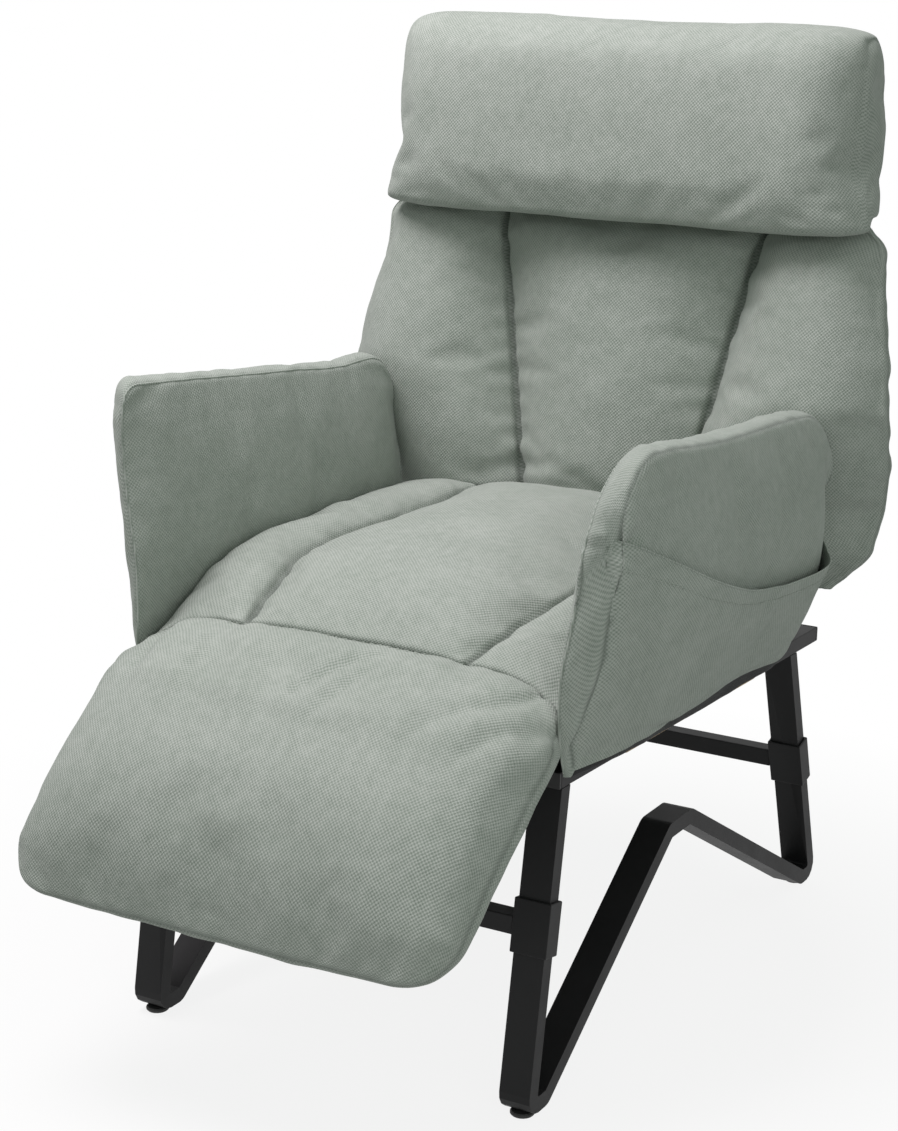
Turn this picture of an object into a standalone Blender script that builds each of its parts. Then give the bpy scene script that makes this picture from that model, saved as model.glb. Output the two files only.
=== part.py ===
"""Upholstered lounge recliner on a base of bent flat steel tube.

The chair faces -Y, +X is the sitter's left and +Z is up, in metres. The origin is
on the floor, under the middle of the chair. The rails and all that they carry lean
back with the seat. The back, the head pillow and the footrest each turn on a pair of
steel hinge leaves, and each hangs from an empty on its hinge axis.
"""
import math

import bmesh
import bpy

# Clearances between pieces
FIT_GAP = 0.0003
PIN_CLEARANCE = 0.0002
SWING_CLEARANCE = 0.004
NOTCH_CLEARANCE = 0.0035

# Base of bent flat tube
TUBE_WIDTH = 0.034
TUBE_THICKNESS = 0.017
TUBE_WALL = 0.0015
BEND_RADIUS = 0.011
SIDE_SPACING = 0.446
FRONT_FOOT_Y = -0.2771
BASE_DEPTH = 0.711
FRONT_FOOT_LENGTH = 0.042
REAR_FOOT_LENGTH = 0.041
APEX_SETBACK = 0.332
APEX_LENGTH = 0.043
APEX_HEIGHT = 0.204
FRONT_LEG_RAKE = math.radians(10.9)
REAR_LEG_RAKE = math.radians(15.4)
RAIL_UNDERSIDE = 0.321
RAIL_REAR_OVERHANG = 0.060
SEAT_TILT = math.radians(2.2)
GLIDE_HEIGHT = 0.005
GLIDE_RADIUS = 0.0125
SLEEVE_WALL = 0.0028
SLEEVE_LENGTH = 0.055
CROSSBAR_SIZE = 0.020
FRONT_CROSSBAR_HEIGHT = 0.190
REAR_CROSSBAR_HEIGHT = 0.165
PLUG_CAP = 0.003
PLUG_SPIGOT = 0.012
PLUG_CLEARANCE = 0.0004

# Seat frame of round tube
SEAT_TUBE_RADIUS = 0.0095
ROUND_TUBE_WALL = 0.0012
SEAT_TUBE_INSET = 0.007
SEAT_FRONT_SETBACK = 0.0246
SEAT_REAR_SETBACK = 0.069
CROSS_TUBE_SETBACK = 0.075
BOLT_SETBACK = 0.110
BOLT_RADIUS = 0.004
BOLT_HEAD_RADIUS = 0.0075
BOLT_HEAD_HEIGHT = 0.0045
BOLT_HOLE_CLEARANCE = 0.0004
STRAP_WIDTH = 0.060
STRAP_THICKNESS = 0.002
STRAP_OVERLAP = 0.008

# Hinge leaves and their axes
LEAF_THICKNESS = 0.003
LEAF_RADIUS = 0.012
LEAF_REACH = 0.035
LEAF_TAIL_RISE = 0.004
PIN_RADIUS = 0.005
PIN_STAND = 0.0015
RECLINE_AXIS_RISE = 0.108
RECLINE_AXIS_SETBACK = 0.010
FOOT_AXIS_RISE = 0.043
FOOT_AXIS_LEAD = 0.053

# Seat cushion
SEAT_OVERHANG = 0.0305
SEAT_HEIGHT = 0.128
SEAT_FRONT_HEIGHT = 0.073
SEAT_CHANNEL = 0.152
SEAT_SEAM_DEPTH = 0.017
SEAT_SIDE_DROP = 0.024
SEAT_TOP_SETBACK = 0.030
SEAT_LOW_SETBACK = 0.052
SEAT_REAR_GAP = 0.064

# Arms, with a board in each pad and a pocket on its outer side
ARM_GAP = 0.003
ARM_WIDTH_LOW = 0.024
ARM_WIDTH_TOP = 0.050
ARM_FLARE = 0.024
ARM_HEIGHT = 0.310
ARM_REAR_DROP = 0.026
ARM_BOTTOM_RISE = 0.009
ARM_FRONT_LEAD = 0.018
ARM_REAR_LEAD = 0.060
ARM_FRONT_SKEW = 0.80
ARM_CORNER = 0.060
ARM_CORNER_DROP = 0.052
ARM_END_ROUNDING = 0.030
BOARD_THICKNESS = 0.009
BOARD_COVER = 0.0065
BOARD_MARGIN = 0.075
BOARD_CORNER = 0.030
SPACER_HEIGHT = 0.018
SPACER_LENGTH = 0.220
POCKET_WALL = 0.0035
POCKET_MOUTH = 0.020
POCKET_FRONT_INSET = 0.018
POCKET_REAR_INSET = 0.022
POCKET_FOOT = 0.010
POCKET_SAG = 0.105
POCKET_HEIGHT = 0.212

# Back
BACK_TILT = math.radians(9.8)
BACK_LENGTH = 0.352
BACK_WIDTH = 0.670
BACK_HEEL_RADIUS = 0.059
BACK_CENTRE_DEPTH = 0.068
BACK_LOBE_DEPTH = 0.086
BACK_SEAM_DEPTH = 0.046
BACK_REAR_DEPTH = 0.052
BACK_WING = 0.036
BACK_LEAST_DEPTH = 0.006
BACK_SEAM_LOW = 0.098
BACK_SEAM_TOP = 0.170
BACK_FRAME_START = 0.020
BACK_FRAME_TOP = 0.322
FRAME_BEND = 0.045

# Head pillow
HEAD_AXIS_RISE = 0.388
HEAD_AXIS_LEAD = 0.030
HEAD_TILT = math.radians(3.5)
HEAD_TUBE_RADIUS = 0.006
HEAD_TUBE_WALL = 0.001
HEAD_FRAME_HEIGHT = 0.120
PILLOW_WIDTH = 0.578
PILLOW_FRONT = 0.096
PILLOW_REAR = 0.036
PILLOW_TOP = 0.176
PILLOW_DROP = 0.072
PILLOW_END = 0.060
HEAD_FORWARD = math.radians(15.0)
HEAD_BACKWARD = math.radians(10.0)

# Footrest
FOOT_TILT = math.radians(41.8)
FOOT_LENGTH = 0.288
FOOT_WIDTH = 0.505
FOOT_TOP = 0.029
FOOT_UNDER = 0.026
FOOT_CROWN = 0.016
FOOT_CORNER = 0.055
FOOT_TUBE_RADIUS = 0.008
FOOT_FRAME_START = 0.018
FOOT_FRAME_LENGTH = 0.225
FOOT_HEEL_RADIUS = 0.036
FOOT_HEEL_INSET = 0.008

# Facets round tubes, pins and bends
ROUND_SEGMENTS = 20
PIN_SEGMENTS = 24
ARC_STEPS = 4

# Places on the base, from the floor
SIDES = {"left": 1.0, "right": -1.0}
RAIL_X = SIDE_SPACING / 2
REAR_FOOT_Y = FRONT_FOOT_Y + BASE_DEPTH
LEG_RISE = RAIL_UNDERSIDE - GLIDE_HEIGHT
RAIL_FRONT_Y = FRONT_FOOT_Y + LEG_RISE * math.tan(FRONT_LEG_RAKE)
RAIL_REAR_Y = REAR_FOOT_Y - LEG_RISE * math.tan(REAR_LEG_RAKE) + RAIL_REAR_OVERHANG

# Places on the seat, from the underside of the rails
RAIL_TOP = TUBE_THICKNESS
SEAT_TUBE_X = RAIL_X - SEAT_TUBE_INSET
SEAT_TUBE_Z = RAIL_TOP + FIT_GAP + SEAT_TUBE_RADIUS
SEAT_TUBE_FRONT = RAIL_FRONT_Y + SEAT_FRONT_SETBACK
SEAT_TUBE_REAR = RAIL_REAR_Y - SEAT_REAR_SETBACK
STRAP_BOTTOM = SEAT_TUBE_Z + SEAT_TUBE_RADIUS + FIT_GAP
CUSHION_BOTTOM = STRAP_BOTTOM + STRAP_THICKNESS + FIT_GAP
FIXED_LEAF_X = SEAT_TUBE_X - SEAT_TUBE_RADIUS - FIT_GAP - LEAF_THICKNESS / 2
MOVING_LEAF_X = FIXED_LEAF_X - LEAF_THICKNESS - FIT_GAP
FRAME_FACE_X = MOVING_LEAF_X - LEAF_THICKNESS / 2 - FIT_GAP
BACK_TUBE_X = FRAME_FACE_X - SEAT_TUBE_RADIUS
FOOT_TUBE_X = FRAME_FACE_X - FOOT_TUBE_RADIUS
HEAD_FIXED_LEAF_X = BACK_TUBE_X - FRAME_BEND - LEAF_THICKNESS
HEAD_LEAF_X = HEAD_FIXED_LEAF_X - LEAF_THICKNESS - FIT_GAP
HEAD_TUBE_X = HEAD_LEAF_X - LEAF_THICKNESS / 2 - FIT_GAP - HEAD_TUBE_RADIUS
RECLINE_Y = SEAT_TUBE_REAR + RECLINE_AXIS_SETBACK
RECLINE_Z = SEAT_TUBE_Z + RECLINE_AXIS_RISE
FOOT_AXIS_Y = SEAT_TUBE_FRONT - FOOT_AXIS_LEAD
FOOT_AXIS_Z = SEAT_TUBE_Z + FOOT_AXIS_RISE
SEAT_HALF_WIDTH = SEAT_TUBE_X + SEAT_OVERHANG
ARM_INNER_X = SEAT_HALF_WIDTH + ARM_GAP
ARM_FRONT_Y = RAIL_FRONT_Y - ARM_FRONT_LEAD
ARM_REAR_Y = SEAT_TUBE_REAR - ARM_REAR_LEAD
ARM_LENGTH = ARM_REAR_Y - ARM_FRONT_Y
ARM_BOTTOM_Z = RAIL_TOP + ARM_BOTTOM_RISE
ARM_TOP_Z = RAIL_TOP + ARM_HEIGHT
BOARD_X = ARM_INNER_X + BOARD_COVER + BOARD_THICKNESS / 2
POCKET_BOTTOM_Z = ARM_BOTTOM_Z + POCKET_FOOT
POCKET_FIRST = POCKET_FRONT_INSET / ARM_LENGTH
POCKET_LAST = 1 - POCKET_REAR_INSET / ARM_LENGTH
HEAD_PIVOT = (0.0, -HEAD_AXIS_LEAD, HEAD_AXIS_RISE)
LEAF_ROOM = LEAF_RADIUS + FIT_GAP
SWING_ROOM = LEAF_RADIUS + NOTCH_CLEARANCE
FIXED_LEAF_ROOM = LEAF_THICKNESS / 2 + NOTCH_CLEARANCE
PIN_SIDE_ROOM = LEAF_THICKNESS / 2 + PIN_STAND + NOTCH_CLEARANCE

# Turns that lay an object's own Z along another axis
TURN_TO_X = (math.pi / 2, 0.0, math.pi / 2)
TURN_TO_Y = (-math.pi / 2, 0.0, 0.0)


# Scene, collections and materials

def clear_scene():
    """Remove every object that the scene starts with."""
    for obj in list(bpy.data.objects):
        bpy.data.objects.remove(obj, do_unlink=True)


def new_collection(name):
    """Make a collection in the scene."""
    collection = bpy.data.collections.new(name)
    bpy.context.scene.collection.children.link(collection)
    return collection


def new_material(name, colour, roughness, metallic):
    """Make a Principled material."""
    material = bpy.data.materials.new(name)
    material.use_nodes = True
    shader = material.node_tree.nodes["Principled BSDF"]
    shader.inputs["Base Color"].default_value = (*colour, 1.0)
    shader.inputs["Roughness"].default_value = roughness
    shader.inputs["Metallic"].default_value = metallic
    return material


clear_scene()
PARTS = new_collection("recliner")
CUTTERS = new_collection("cutters")
BLACK_STEEL = new_material("black_steel", (0.018, 0.018, 0.019), 0.5, 0.4)
BARE_STEEL = new_material("bare_steel", (0.42, 0.42, 0.43), 0.4, 1.0)
BLACK_PLASTIC = new_material("black_plastic", (0.015, 0.015, 0.015), 0.6, 0.0)
SAGE_FABRIC = new_material("sage_fabric", (0.33, 0.38, 0.33), 0.9, 0.0)
BLACK_WEBBING = new_material("black_webbing", (0.03, 0.03, 0.03), 0.85, 0.0)
PLYWOOD = new_material("plywood", (0.55, 0.40, 0.24), 0.7, 0.0)


# Objects, pivots and cuts

def add_part(name, data, material, pivot=None, location=(0, 0, 0), rotation=(0, 0, 0)):
    """Link a finished mesh or curve as a named piece."""
    obj = bpy.data.objects.new(name, data)
    data.materials.append(material)
    obj.parent = pivot
    obj.location = location
    obj.rotation_euler = rotation
    PARTS.objects.link(obj)
    return obj


def add_pivot(name, location, tilt, pivot=None):
    """Make an empty that is turned about X to the rest tilt of what hangs from it."""
    empty = bpy.data.objects.new(name, None)
    empty.parent = pivot
    empty.location = location
    empty.rotation_euler = (tilt, 0, 0)
    PARTS.objects.link(empty)
    return empty


def add_cutter(name, data, pivot=None, location=(0, 0, 0), rotation=(0, 0, 0)):
    """Link a mesh that only cuts or joins other pieces."""
    obj = bpy.data.objects.new(name, data)
    obj.parent = pivot
    obj.location = location
    obj.rotation_euler = rotation
    obj.hide_render = True
    obj.display_type = "WIRE"
    CUTTERS.objects.link(obj)
    return obj


def boolean(target, tool, operation):
    """Cut a tool from a piece, or join the tool to it."""
    modifier = target.modifiers.new(tool.name, "BOOLEAN")
    modifier.operation = operation
    modifier.solver = "EXACT"
    modifier.object = tool


def block_mesh(name, low, high):
    """Make a box between two corners, in either order along X."""
    mesh = bpy.data.meshes.new(name)
    box = bmesh.new()
    bmesh.ops.create_cube(box, size=1.0)
    across = sorted((low[0], high[0]))
    corners = ((across[0], low[1], low[2]), (across[1], high[1], high[2]))
    for vertex in box.verts:
        for axis in range(3):
            share = vertex.co[axis] + 0.5
            vertex.co[axis] = corners[0][axis] + share * (corners[1][axis] - corners[0][axis])
    box.to_mesh(mesh)
    box.free()
    return mesh


def cut_block(target, name, low, high, pivot):
    """Cut a box out of a piece."""
    boolean(target, add_cutter(name, block_mesh(name, low, high), pivot), "DIFFERENCE")


# Outlines and curves

def arc_points(centre, radius, start, end, steps):
    """Points on an arc in a plane, both ends included."""
    angles = [start + (end - start) * step / steps for step in range(steps + 1)]
    return [(centre[0] + radius * math.cos(a), centre[1] + radius * math.sin(a)) for a in angles]


def circle_points(centre, radius, segments):
    """Points of a closed circle."""
    return arc_points(centre, radius, 0.0, 2 * math.pi, segments)[:-1]


def rectangle_points(width, height):
    """Corners of a rectangle about the origin."""
    across, along = width / 2, height / 2
    return [(-across, -along), (across, -along), (across, along), (-across, along)]


def capsule_points(first, second, radius):
    """Outline of a plate with two round ends."""
    heading = math.atan2(second[1] - first[1], second[0] - first[0])
    steps = ARC_STEPS * 2
    far_end = arc_points(second, radius, heading - math.pi / 2, heading + math.pi / 2, steps)
    near_end = arc_points(first, radius, heading + math.pi / 2, heading + 1.5 * math.pi, steps)
    return far_end + near_end


def offset_line(points, distance):
    """Shift an open line sideways, to its left where the distance is positive."""
    normals = []
    for first, second in zip(points, points[1:]):
        run, rise = second[0] - first[0], second[1] - first[1]
        length = math.hypot(run, rise)
        normals.append((-rise / length, run / length))
    shifted = []
    for index, point in enumerate(points):
        before = normals[max(index - 1, 0)]
        after = normals[min(index, len(normals) - 1)]
        scale = distance / (1 + before[0] * after[0] + before[1] * after[1])
        shifted.append((point[0] + scale * (before[0] + after[0]),
                        point[1] + scale * (before[1] + after[1])))
    return shifted


def rounded_line(points, radius, closed=False):
    """Replace the corners of a line with arcs."""
    corners = range(len(points)) if closed else range(1, len(points) - 1)
    smooth = [] if closed else [points[0]]
    for index in corners:
        before, corner, after = points[index - 1], points[index], points[(index + 1) % len(points)]
        back = math.atan2(before[1] - corner[1], before[0] - corner[0])
        ahead = math.atan2(after[1] - corner[1], after[0] - corner[0])
        turn = (ahead - back + math.pi) % (2 * math.pi) - math.pi
        reach = radius / math.tan(abs(turn) / 2)
        middle = back + turn / 2
        span = radius / math.sin(abs(turn) / 2)
        centre = (corner[0] + span * math.cos(middle), corner[1] + span * math.sin(middle))
        start = (corner[0] + reach * math.cos(back), corner[1] + reach * math.sin(back))
        first = math.atan2(start[1] - centre[1], start[0] - centre[0])
        sweep = math.copysign(math.pi - abs(turn), -turn)
        smooth.extend(arc_points(centre, radius, first, first + sweep, ARC_STEPS))
    return smooth if closed else smooth + [points[-1]]


def outline_curve(name, loops, half_thickness):
    """Make a flat plate, or a straight tube where a second loop is its bore."""
    curve = bpy.data.curves.new(name, "CURVE")
    curve.dimensions = "2D"
    curve.fill_mode = "BOTH"
    curve.extrude = half_thickness
    for loop in loops:
        spline = curve.splines.new("POLY")
        spline.points.add(len(loop) - 1)
        for point, place in zip(spline.points, loop):
            point.co = (place[0], place[1], 0.0, 1.0)
        spline.use_cyclic_u = True
    return curve


def rod_curve(name, points, radius):
    """Make a round rod along a line of points."""
    curve = bpy.data.curves.new(name, "CURVE")
    curve.dimensions = "3D"
    curve.bevel_depth = radius
    curve.bevel_resolution = 2
    curve.use_fill_caps = True
    spline = curve.splines.new("POLY")
    spline.points.add(len(points) - 1)
    for point, place in zip(spline.points, points):
        point.co = (*place, 1.0)
    return curve


def mesh_of(curve):
    """Turn a curve into a closed mesh."""
    holder = bpy.data.objects.new(curve.name, curve)
    bpy.context.scene.collection.objects.link(holder)
    depsgraph = bpy.context.evaluated_depsgraph_get()
    mesh = bpy.data.meshes.new_from_object(holder.evaluated_get(depsgraph))
    bpy.data.objects.remove(holder, do_unlink=True)
    weld = bmesh.new()
    weld.from_mesh(mesh)
    bmesh.ops.remove_doubles(weld, verts=weld.verts, dist=1e-6)
    bmesh.ops.recalc_face_normals(weld, faces=weld.faces)
    weld.to_mesh(mesh)
    weld.free()
    return mesh


def turned_part(name, profile, material, location, pivot=None):
    """Turn a profile of radius and height, listed from top to bottom, about Z."""
    mesh = bpy.data.meshes.new(name)
    vertices = [(radius, 0.0, height) for radius, height in profile]
    mesh.from_pydata(vertices, [(i, i + 1) for i in range(len(profile) - 1)], [])
    obj = add_part(name, mesh, material, pivot, location)
    screw = obj.modifiers.new("turn", "SCREW")
    screw.axis = "Z"
    screw.steps = ROUND_SEGMENTS
    screw.render_steps = ROUND_SEGMENTS
    screw.use_merge_vertices = True
    screw.merge_threshold = 1e-5
    return obj


def straight_tube(name, radius, wall, half_length, pivot, location, rotation):
    """Make a straight round tube that is open at both ends."""
    outer = circle_points((0, 0), radius, ROUND_SEGMENTS)
    bore = circle_points((0, 0), radius - wall, ROUND_SEGMENTS)
    curve = outline_curve(name, [outer, bore], half_length)
    return add_part(name, mesh_of(curve), BARE_STEEL, pivot, location, rotation)


def bent_tube(name, points, radius, wall, pivot):
    """Make a bent round tube that is open at both ends."""
    def longer(first, second):
        reach = wall / math.dist(first, second)
        return tuple(a + (a - b) * reach for a, b in zip(first, second))

    obj = add_part(name, mesh_of(rod_curve(name, points, radius)), BARE_STEEL, pivot)
    bore_line = [longer(points[0], points[1])] + points[1:-1] + [longer(points[-1], points[-2])]
    bore = mesh_of(rod_curve(name + "_bore", bore_line, radius - wall))
    boolean(obj, add_cutter(name + "_bore", bore, pivot), "DIFFERENCE")
    return obj


def hoop(half_width, start, end, bend):
    """Line of a hoop in a plane: up one side, across and down the other."""
    corners = [(half_width, start), (half_width, end), (-half_width, end), (-half_width, start)]
    return rounded_line(corners, bend)


# Soft forms

def smooth_value(knots, place):
    """Read a smooth curve through knots of place and value."""
    if place <= knots[0][0]:
        return knots[0][1]
    for (start, low), (end, high) in zip(knots, knots[1:]):
        if place <= end:
            share = (place - start) / (end - start)
            ease = share * share * (3 - 2 * share)
            return low + (high - low) * (0.5 * share + 0.5 * ease)
    return knots[-1][1]


def puff(share, fullness):
    """Height of a stuffed channel, 0 at both of its seams and 1 in the middle."""
    return 1 - abs(2 * share - 1) ** fullness


def soft_mesh(name, rings):
    """Loft closed rings into one body, each end closed by a strip across the ring."""
    mesh = bpy.data.meshes.new(name)
    count = len(rings[0])
    loft = bmesh.new()
    rows = [[loft.verts.new(point) for point in ring] for ring in rings]
    for row, following in zip(rows, rows[1:]):
        for index in range(count):
            after = (index + 1) % count
            loft.faces.new((row[index], row[after], following[after], following[index]))
    for row in (rows[0], rows[-1]):
        for index in range(count // 2 - 1):
            loft.faces.new((row[index], row[index + 1], row[count - 2 - index], row[count - 1 - index]))
    bmesh.ops.recalc_face_normals(loft, faces=loft.faces)
    bmesh.ops.triangulate(loft, faces=loft.faces)
    loft.to_mesh(mesh)
    loft.free()
    mesh.shade_smooth()
    mesh.set_sharp_from_angle(angle=math.radians(50))
    return mesh


CHANNEL_SHARES = (0.0, 0.07, 0.22, 0.5, 0.78, 0.93)


def channel_places(edges):
    """Places across a quilted pad: the channel, the share of it and the distance."""
    places = []
    for channel, (start, end) in enumerate(zip(edges, edges[1:])):
        for share in CHANNEL_SHARES:
            places.append((channel, share, start + share * (end - start)))
    places.append((len(edges) - 2, 1.0, edges[-1]))
    return places


# Base

def under_rail(point, lean, drop):
    """Carry a leaning leg line up from a point to a drop below the sloping rails."""
    slope = -math.tan(SEAT_TILT)
    run = point[0] - point[1] * lean
    height = (RAIL_UNDERSIDE - drop + slope * run) / (1 - slope * lean)
    return (run + height * lean, height)


def leg_outline(inset, drop):
    """Outline of a bent side frame, drawn in by an inset and cut along the rail."""
    front_lean = math.tan(FRONT_LEG_RAKE)
    rear_lean = -math.tan(REAR_LEG_RAKE)
    rise = LEG_RISE + 2 * TUBE_THICKNESS
    apex_low = GLIDE_HEIGHT + APEX_HEIGHT - TUBE_THICKNESS
    apex_y = FRONT_FOOT_Y + APEX_SETBACK
    floor_side = [
        (FRONT_FOOT_Y + rise * front_lean, GLIDE_HEIGHT + rise),
        (FRONT_FOOT_Y, GLIDE_HEIGHT),
        (FRONT_FOOT_Y + FRONT_FOOT_LENGTH, GLIDE_HEIGHT),
        (apex_y - APEX_LENGTH / 2, apex_low),
        (apex_y + APEX_LENGTH / 2, apex_low),
        (REAR_FOOT_Y - REAR_FOOT_LENGTH, GLIDE_HEIGHT),
        (REAR_FOOT_Y, GLIDE_HEIGHT),
        (REAR_FOOT_Y + rise * rear_lean, GLIDE_HEIGHT + rise),
    ]
    middle = rounded_line(offset_line(floor_side, TUBE_THICKNESS / 2), BEND_RADIUS)
    reach = TUBE_THICKNESS / 2 - inset
    sides = []
    for line in (offset_line(middle, -reach), offset_line(middle, reach)):
        line[0] = under_rail(line[1], front_lean, drop)
        line[-1] = under_rail(line[-2], rear_lean, drop)
        sides.append(line)
    return sides[0] + sides[1][::-1]


def build_leg_frames():
    """Two side frames, each one flat tube bent into front leg, apex and rear leg."""
    for side, sign in SIDES.items():
        name = f"{side}_leg_frame"
        outer = mesh_of(outline_curve(name, [leg_outline(0.0, FIT_GAP)], TUBE_WIDTH / 2))
        frame = add_part(name, outer, BLACK_STEEL, None, (sign * RAIL_X, 0, 0), TURN_TO_X)
        bore_name = f"{side}_leg_bore"
        bore = outline_curve(bore_name, [leg_outline(TUBE_WALL, -TUBE_WALL)], TUBE_WIDTH / 2 - TUBE_WALL)
        boolean(frame, add_cutter(bore_name, mesh_of(bore), None, (sign * RAIL_X, 0, 0), TURN_TO_X),
                "DIFFERENCE")


def flat_tube_loops(width, height, wall):
    """Section of a flat tube, with its bore."""
    bore = rectangle_points(width - 2 * wall, height - 2 * wall)
    return [rectangle_points(width, height), bore]


def bolt_places():
    """Places along Y of the bolts that hold the seat frame on a rail."""
    return {"front": SEAT_TUBE_FRONT + BOLT_SETBACK, "rear": SEAT_TUBE_REAR - BOLT_SETBACK}


def bolt_hole(name, seat, x, y):
    """Cutter for a bolt hole through a rail and into the seat tube."""
    mesh = bpy.data.meshes.new(name)
    hole = bmesh.new()
    radius = BOLT_RADIUS + BOLT_HOLE_CLEARANCE
    bmesh.ops.create_cone(hole, cap_ends=True, segments=ROUND_SEGMENTS, radius1=radius, radius2=radius,
                          depth=SEAT_TUBE_Z + TUBE_WALL)
    hole.to_mesh(mesh)
    hole.free()
    turn = math.pi / ROUND_SEGMENTS
    return add_cutter(name, mesh, seat, (x, y, (SEAT_TUBE_Z - TUBE_WALL) / 2), (0, 0, turn))


def build_rails(seat):
    """Two straight rails on the side frames, with a plug in each open end."""
    middle = (RAIL_FRONT_Y + RAIL_REAR_Y) / 2
    half_length = (RAIL_REAR_Y - RAIL_FRONT_Y) / 2
    for side, sign in SIDES.items():
        place = (sign * RAIL_X, middle, TUBE_THICKNESS / 2)
        curve = outline_curve(f"{side}_top_rail", flat_tube_loops(TUBE_WIDTH, TUBE_THICKNESS, TUBE_WALL),
                              half_length)
        add_part(f"{side}_top_rail", mesh_of(curve), BLACK_STEEL, seat, place, TURN_TO_Y)
        for end, along in (("front", -1.0), ("rear", 1.0)):
            build_plug(f"{side}_rail_{end}_plug", seat, place, along * half_length)


def build_plug(name, seat, rail_place, reach):
    """A moulded plug: a cap over the rail's end and a spigot inside it."""
    outward = math.copysign(1.0, reach)
    mesh = bpy.data.meshes.new(name)
    plug = bmesh.new()
    bmesh.ops.create_cube(plug, size=1.0)
    bmesh.ops.scale(plug, vec=(TUBE_WIDTH, PLUG_CAP, TUBE_THICKNESS), verts=plug.verts)
    inner = [face for face in plug.faces if face.normal.y * outward < -0.5]
    bmesh.ops.inset_region(plug, faces=inner, thickness=TUBE_WALL + PLUG_CLEARANCE, use_even_offset=True)
    spigot = bmesh.ops.extrude_discrete_faces(plug, faces=inner)["faces"][0]
    bmesh.ops.translate(plug, vec=(0, -outward * PLUG_SPIGOT, 0), verts=spigot.verts)
    plug.to_mesh(mesh)
    plug.free()
    cap_y = rail_place[1] + reach + outward * (FIT_GAP + PLUG_CAP / 2)
    add_part(name, mesh, BLACK_PLASTIC, seat, (rail_place[0], cap_y, rail_place[2]))


def leg_centre(end, height):
    """Place along Y of a leg's middle at a height, and the leg's turn about X."""
    rake = FRONT_LEG_RAKE if end == "front" else REAR_LEG_RAKE
    reach = (height - GLIDE_HEIGHT) * math.tan(rake) + TUBE_THICKNESS / 2 / math.cos(rake)
    if end == "front":
        return FRONT_FOOT_Y + reach, -rake
    return REAR_FOOT_Y - reach, rake


def build_crossbars():
    """A front and a rear crossbar, each between two sleeves round the legs."""
    clear_width = TUBE_WIDTH + 2 * FIT_GAP
    clear_height = TUBE_THICKNESS + 2 * FIT_GAP
    sleeve_width = clear_width + 2 * SLEEVE_WALL
    section = [rectangle_points(sleeve_width, clear_height + 2 * SLEEVE_WALL),
               rectangle_points(clear_width, clear_height)]
    half_length = RAIL_X - sleeve_width / 2 - FIT_GAP
    for end, height in (("front", FRONT_CROSSBAR_HEIGHT), ("rear", REAR_CROSSBAR_HEIGHT)):
        middle, turn = leg_centre(end, height)
        for side, sign in SIDES.items():
            name = f"{end}_{side}_sleeve"
            curve = outline_curve(name, section, SLEEVE_LENGTH / 2)
            add_part(name, mesh_of(curve), BLACK_STEEL, None, (sign * RAIL_X, middle, height), (turn, 0, 0))
        curve = outline_curve(f"{end}_crossbar", flat_tube_loops(CROSSBAR_SIZE, CROSSBAR_SIZE, TUBE_WALL),
                              half_length)
        add_part(f"{end}_crossbar", mesh_of(curve), BLACK_STEEL, None, (0, middle, height), TURN_TO_X)


def build_glides():
    """Round glides under the four feet."""
    top = GLIDE_HEIGHT - FIT_GAP
    profile = [(0, top), (GLIDE_RADIUS * 0.9, top), (GLIDE_RADIUS, top * 0.7),
               (GLIDE_RADIUS, top * 0.3), (GLIDE_RADIUS * 0.9, 0), (0, 0)]
    places = {"front": FRONT_FOOT_Y + FRONT_FOOT_LENGTH / 2, "rear": REAR_FOOT_Y - REAR_FOOT_LENGTH / 2}
    for end, y in places.items():
        for side, sign in SIDES.items():
            turned_part(f"{end}_{side}_glide", profile, BLACK_PLASTIC, (sign * RAIL_X, y, 0))


# Seat

def build_seat_frame(seat):
    """Side and cross tubes on the rails, bolted down, with webbing straps across."""
    middle = (SEAT_TUBE_FRONT + SEAT_TUBE_REAR) / 2
    half_length = (SEAT_TUBE_REAR - SEAT_TUBE_FRONT) / 2
    for side, sign in SIDES.items():
        tube = straight_tube(f"seat_{side}_tube", SEAT_TUBE_RADIUS, ROUND_TUBE_WALL, half_length, seat,
                             (sign * SEAT_TUBE_X, middle, SEAT_TUBE_Z), TURN_TO_Y)
        rail = bpy.data.objects[f"{side}_top_rail"]
        for end, y in bolt_places().items():
            hole = bolt_hole(f"{end}_{side}_bolt_hole", seat, sign * SEAT_TUBE_X, y)
            boolean(tube, hole, "DIFFERENCE")
            boolean(rail, hole, "DIFFERENCE")
            build_bolt(f"{end}_{side}_seat_bolt", seat, sign * SEAT_TUBE_X, y)
    half_width = SEAT_TUBE_X - SEAT_TUBE_RADIUS - FIT_GAP
    places = {"front": SEAT_TUBE_FRONT + CROSS_TUBE_SETBACK, "rear": SEAT_TUBE_REAR - CROSS_TUBE_SETBACK}
    for end, y in places.items():
        straight_tube(f"seat_{end}_tube", SEAT_TUBE_RADIUS, ROUND_TUBE_WALL, half_width, seat,
                      (0, y, SEAT_TUBE_Z), TURN_TO_X)
    reach = SEAT_TUBE_X + STRAP_OVERLAP
    for number in range(3):
        y = middle + (number - 1) * half_length / 2
        mesh = block_mesh(f"seat_strap_{number + 1}", (-reach, y - STRAP_WIDTH / 2, STRAP_BOTTOM),
                          (reach, y + STRAP_WIDTH / 2, STRAP_BOTTOM + STRAP_THICKNESS))
        add_part(f"seat_strap_{number + 1}", mesh, BLACK_WEBBING, seat)


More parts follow.
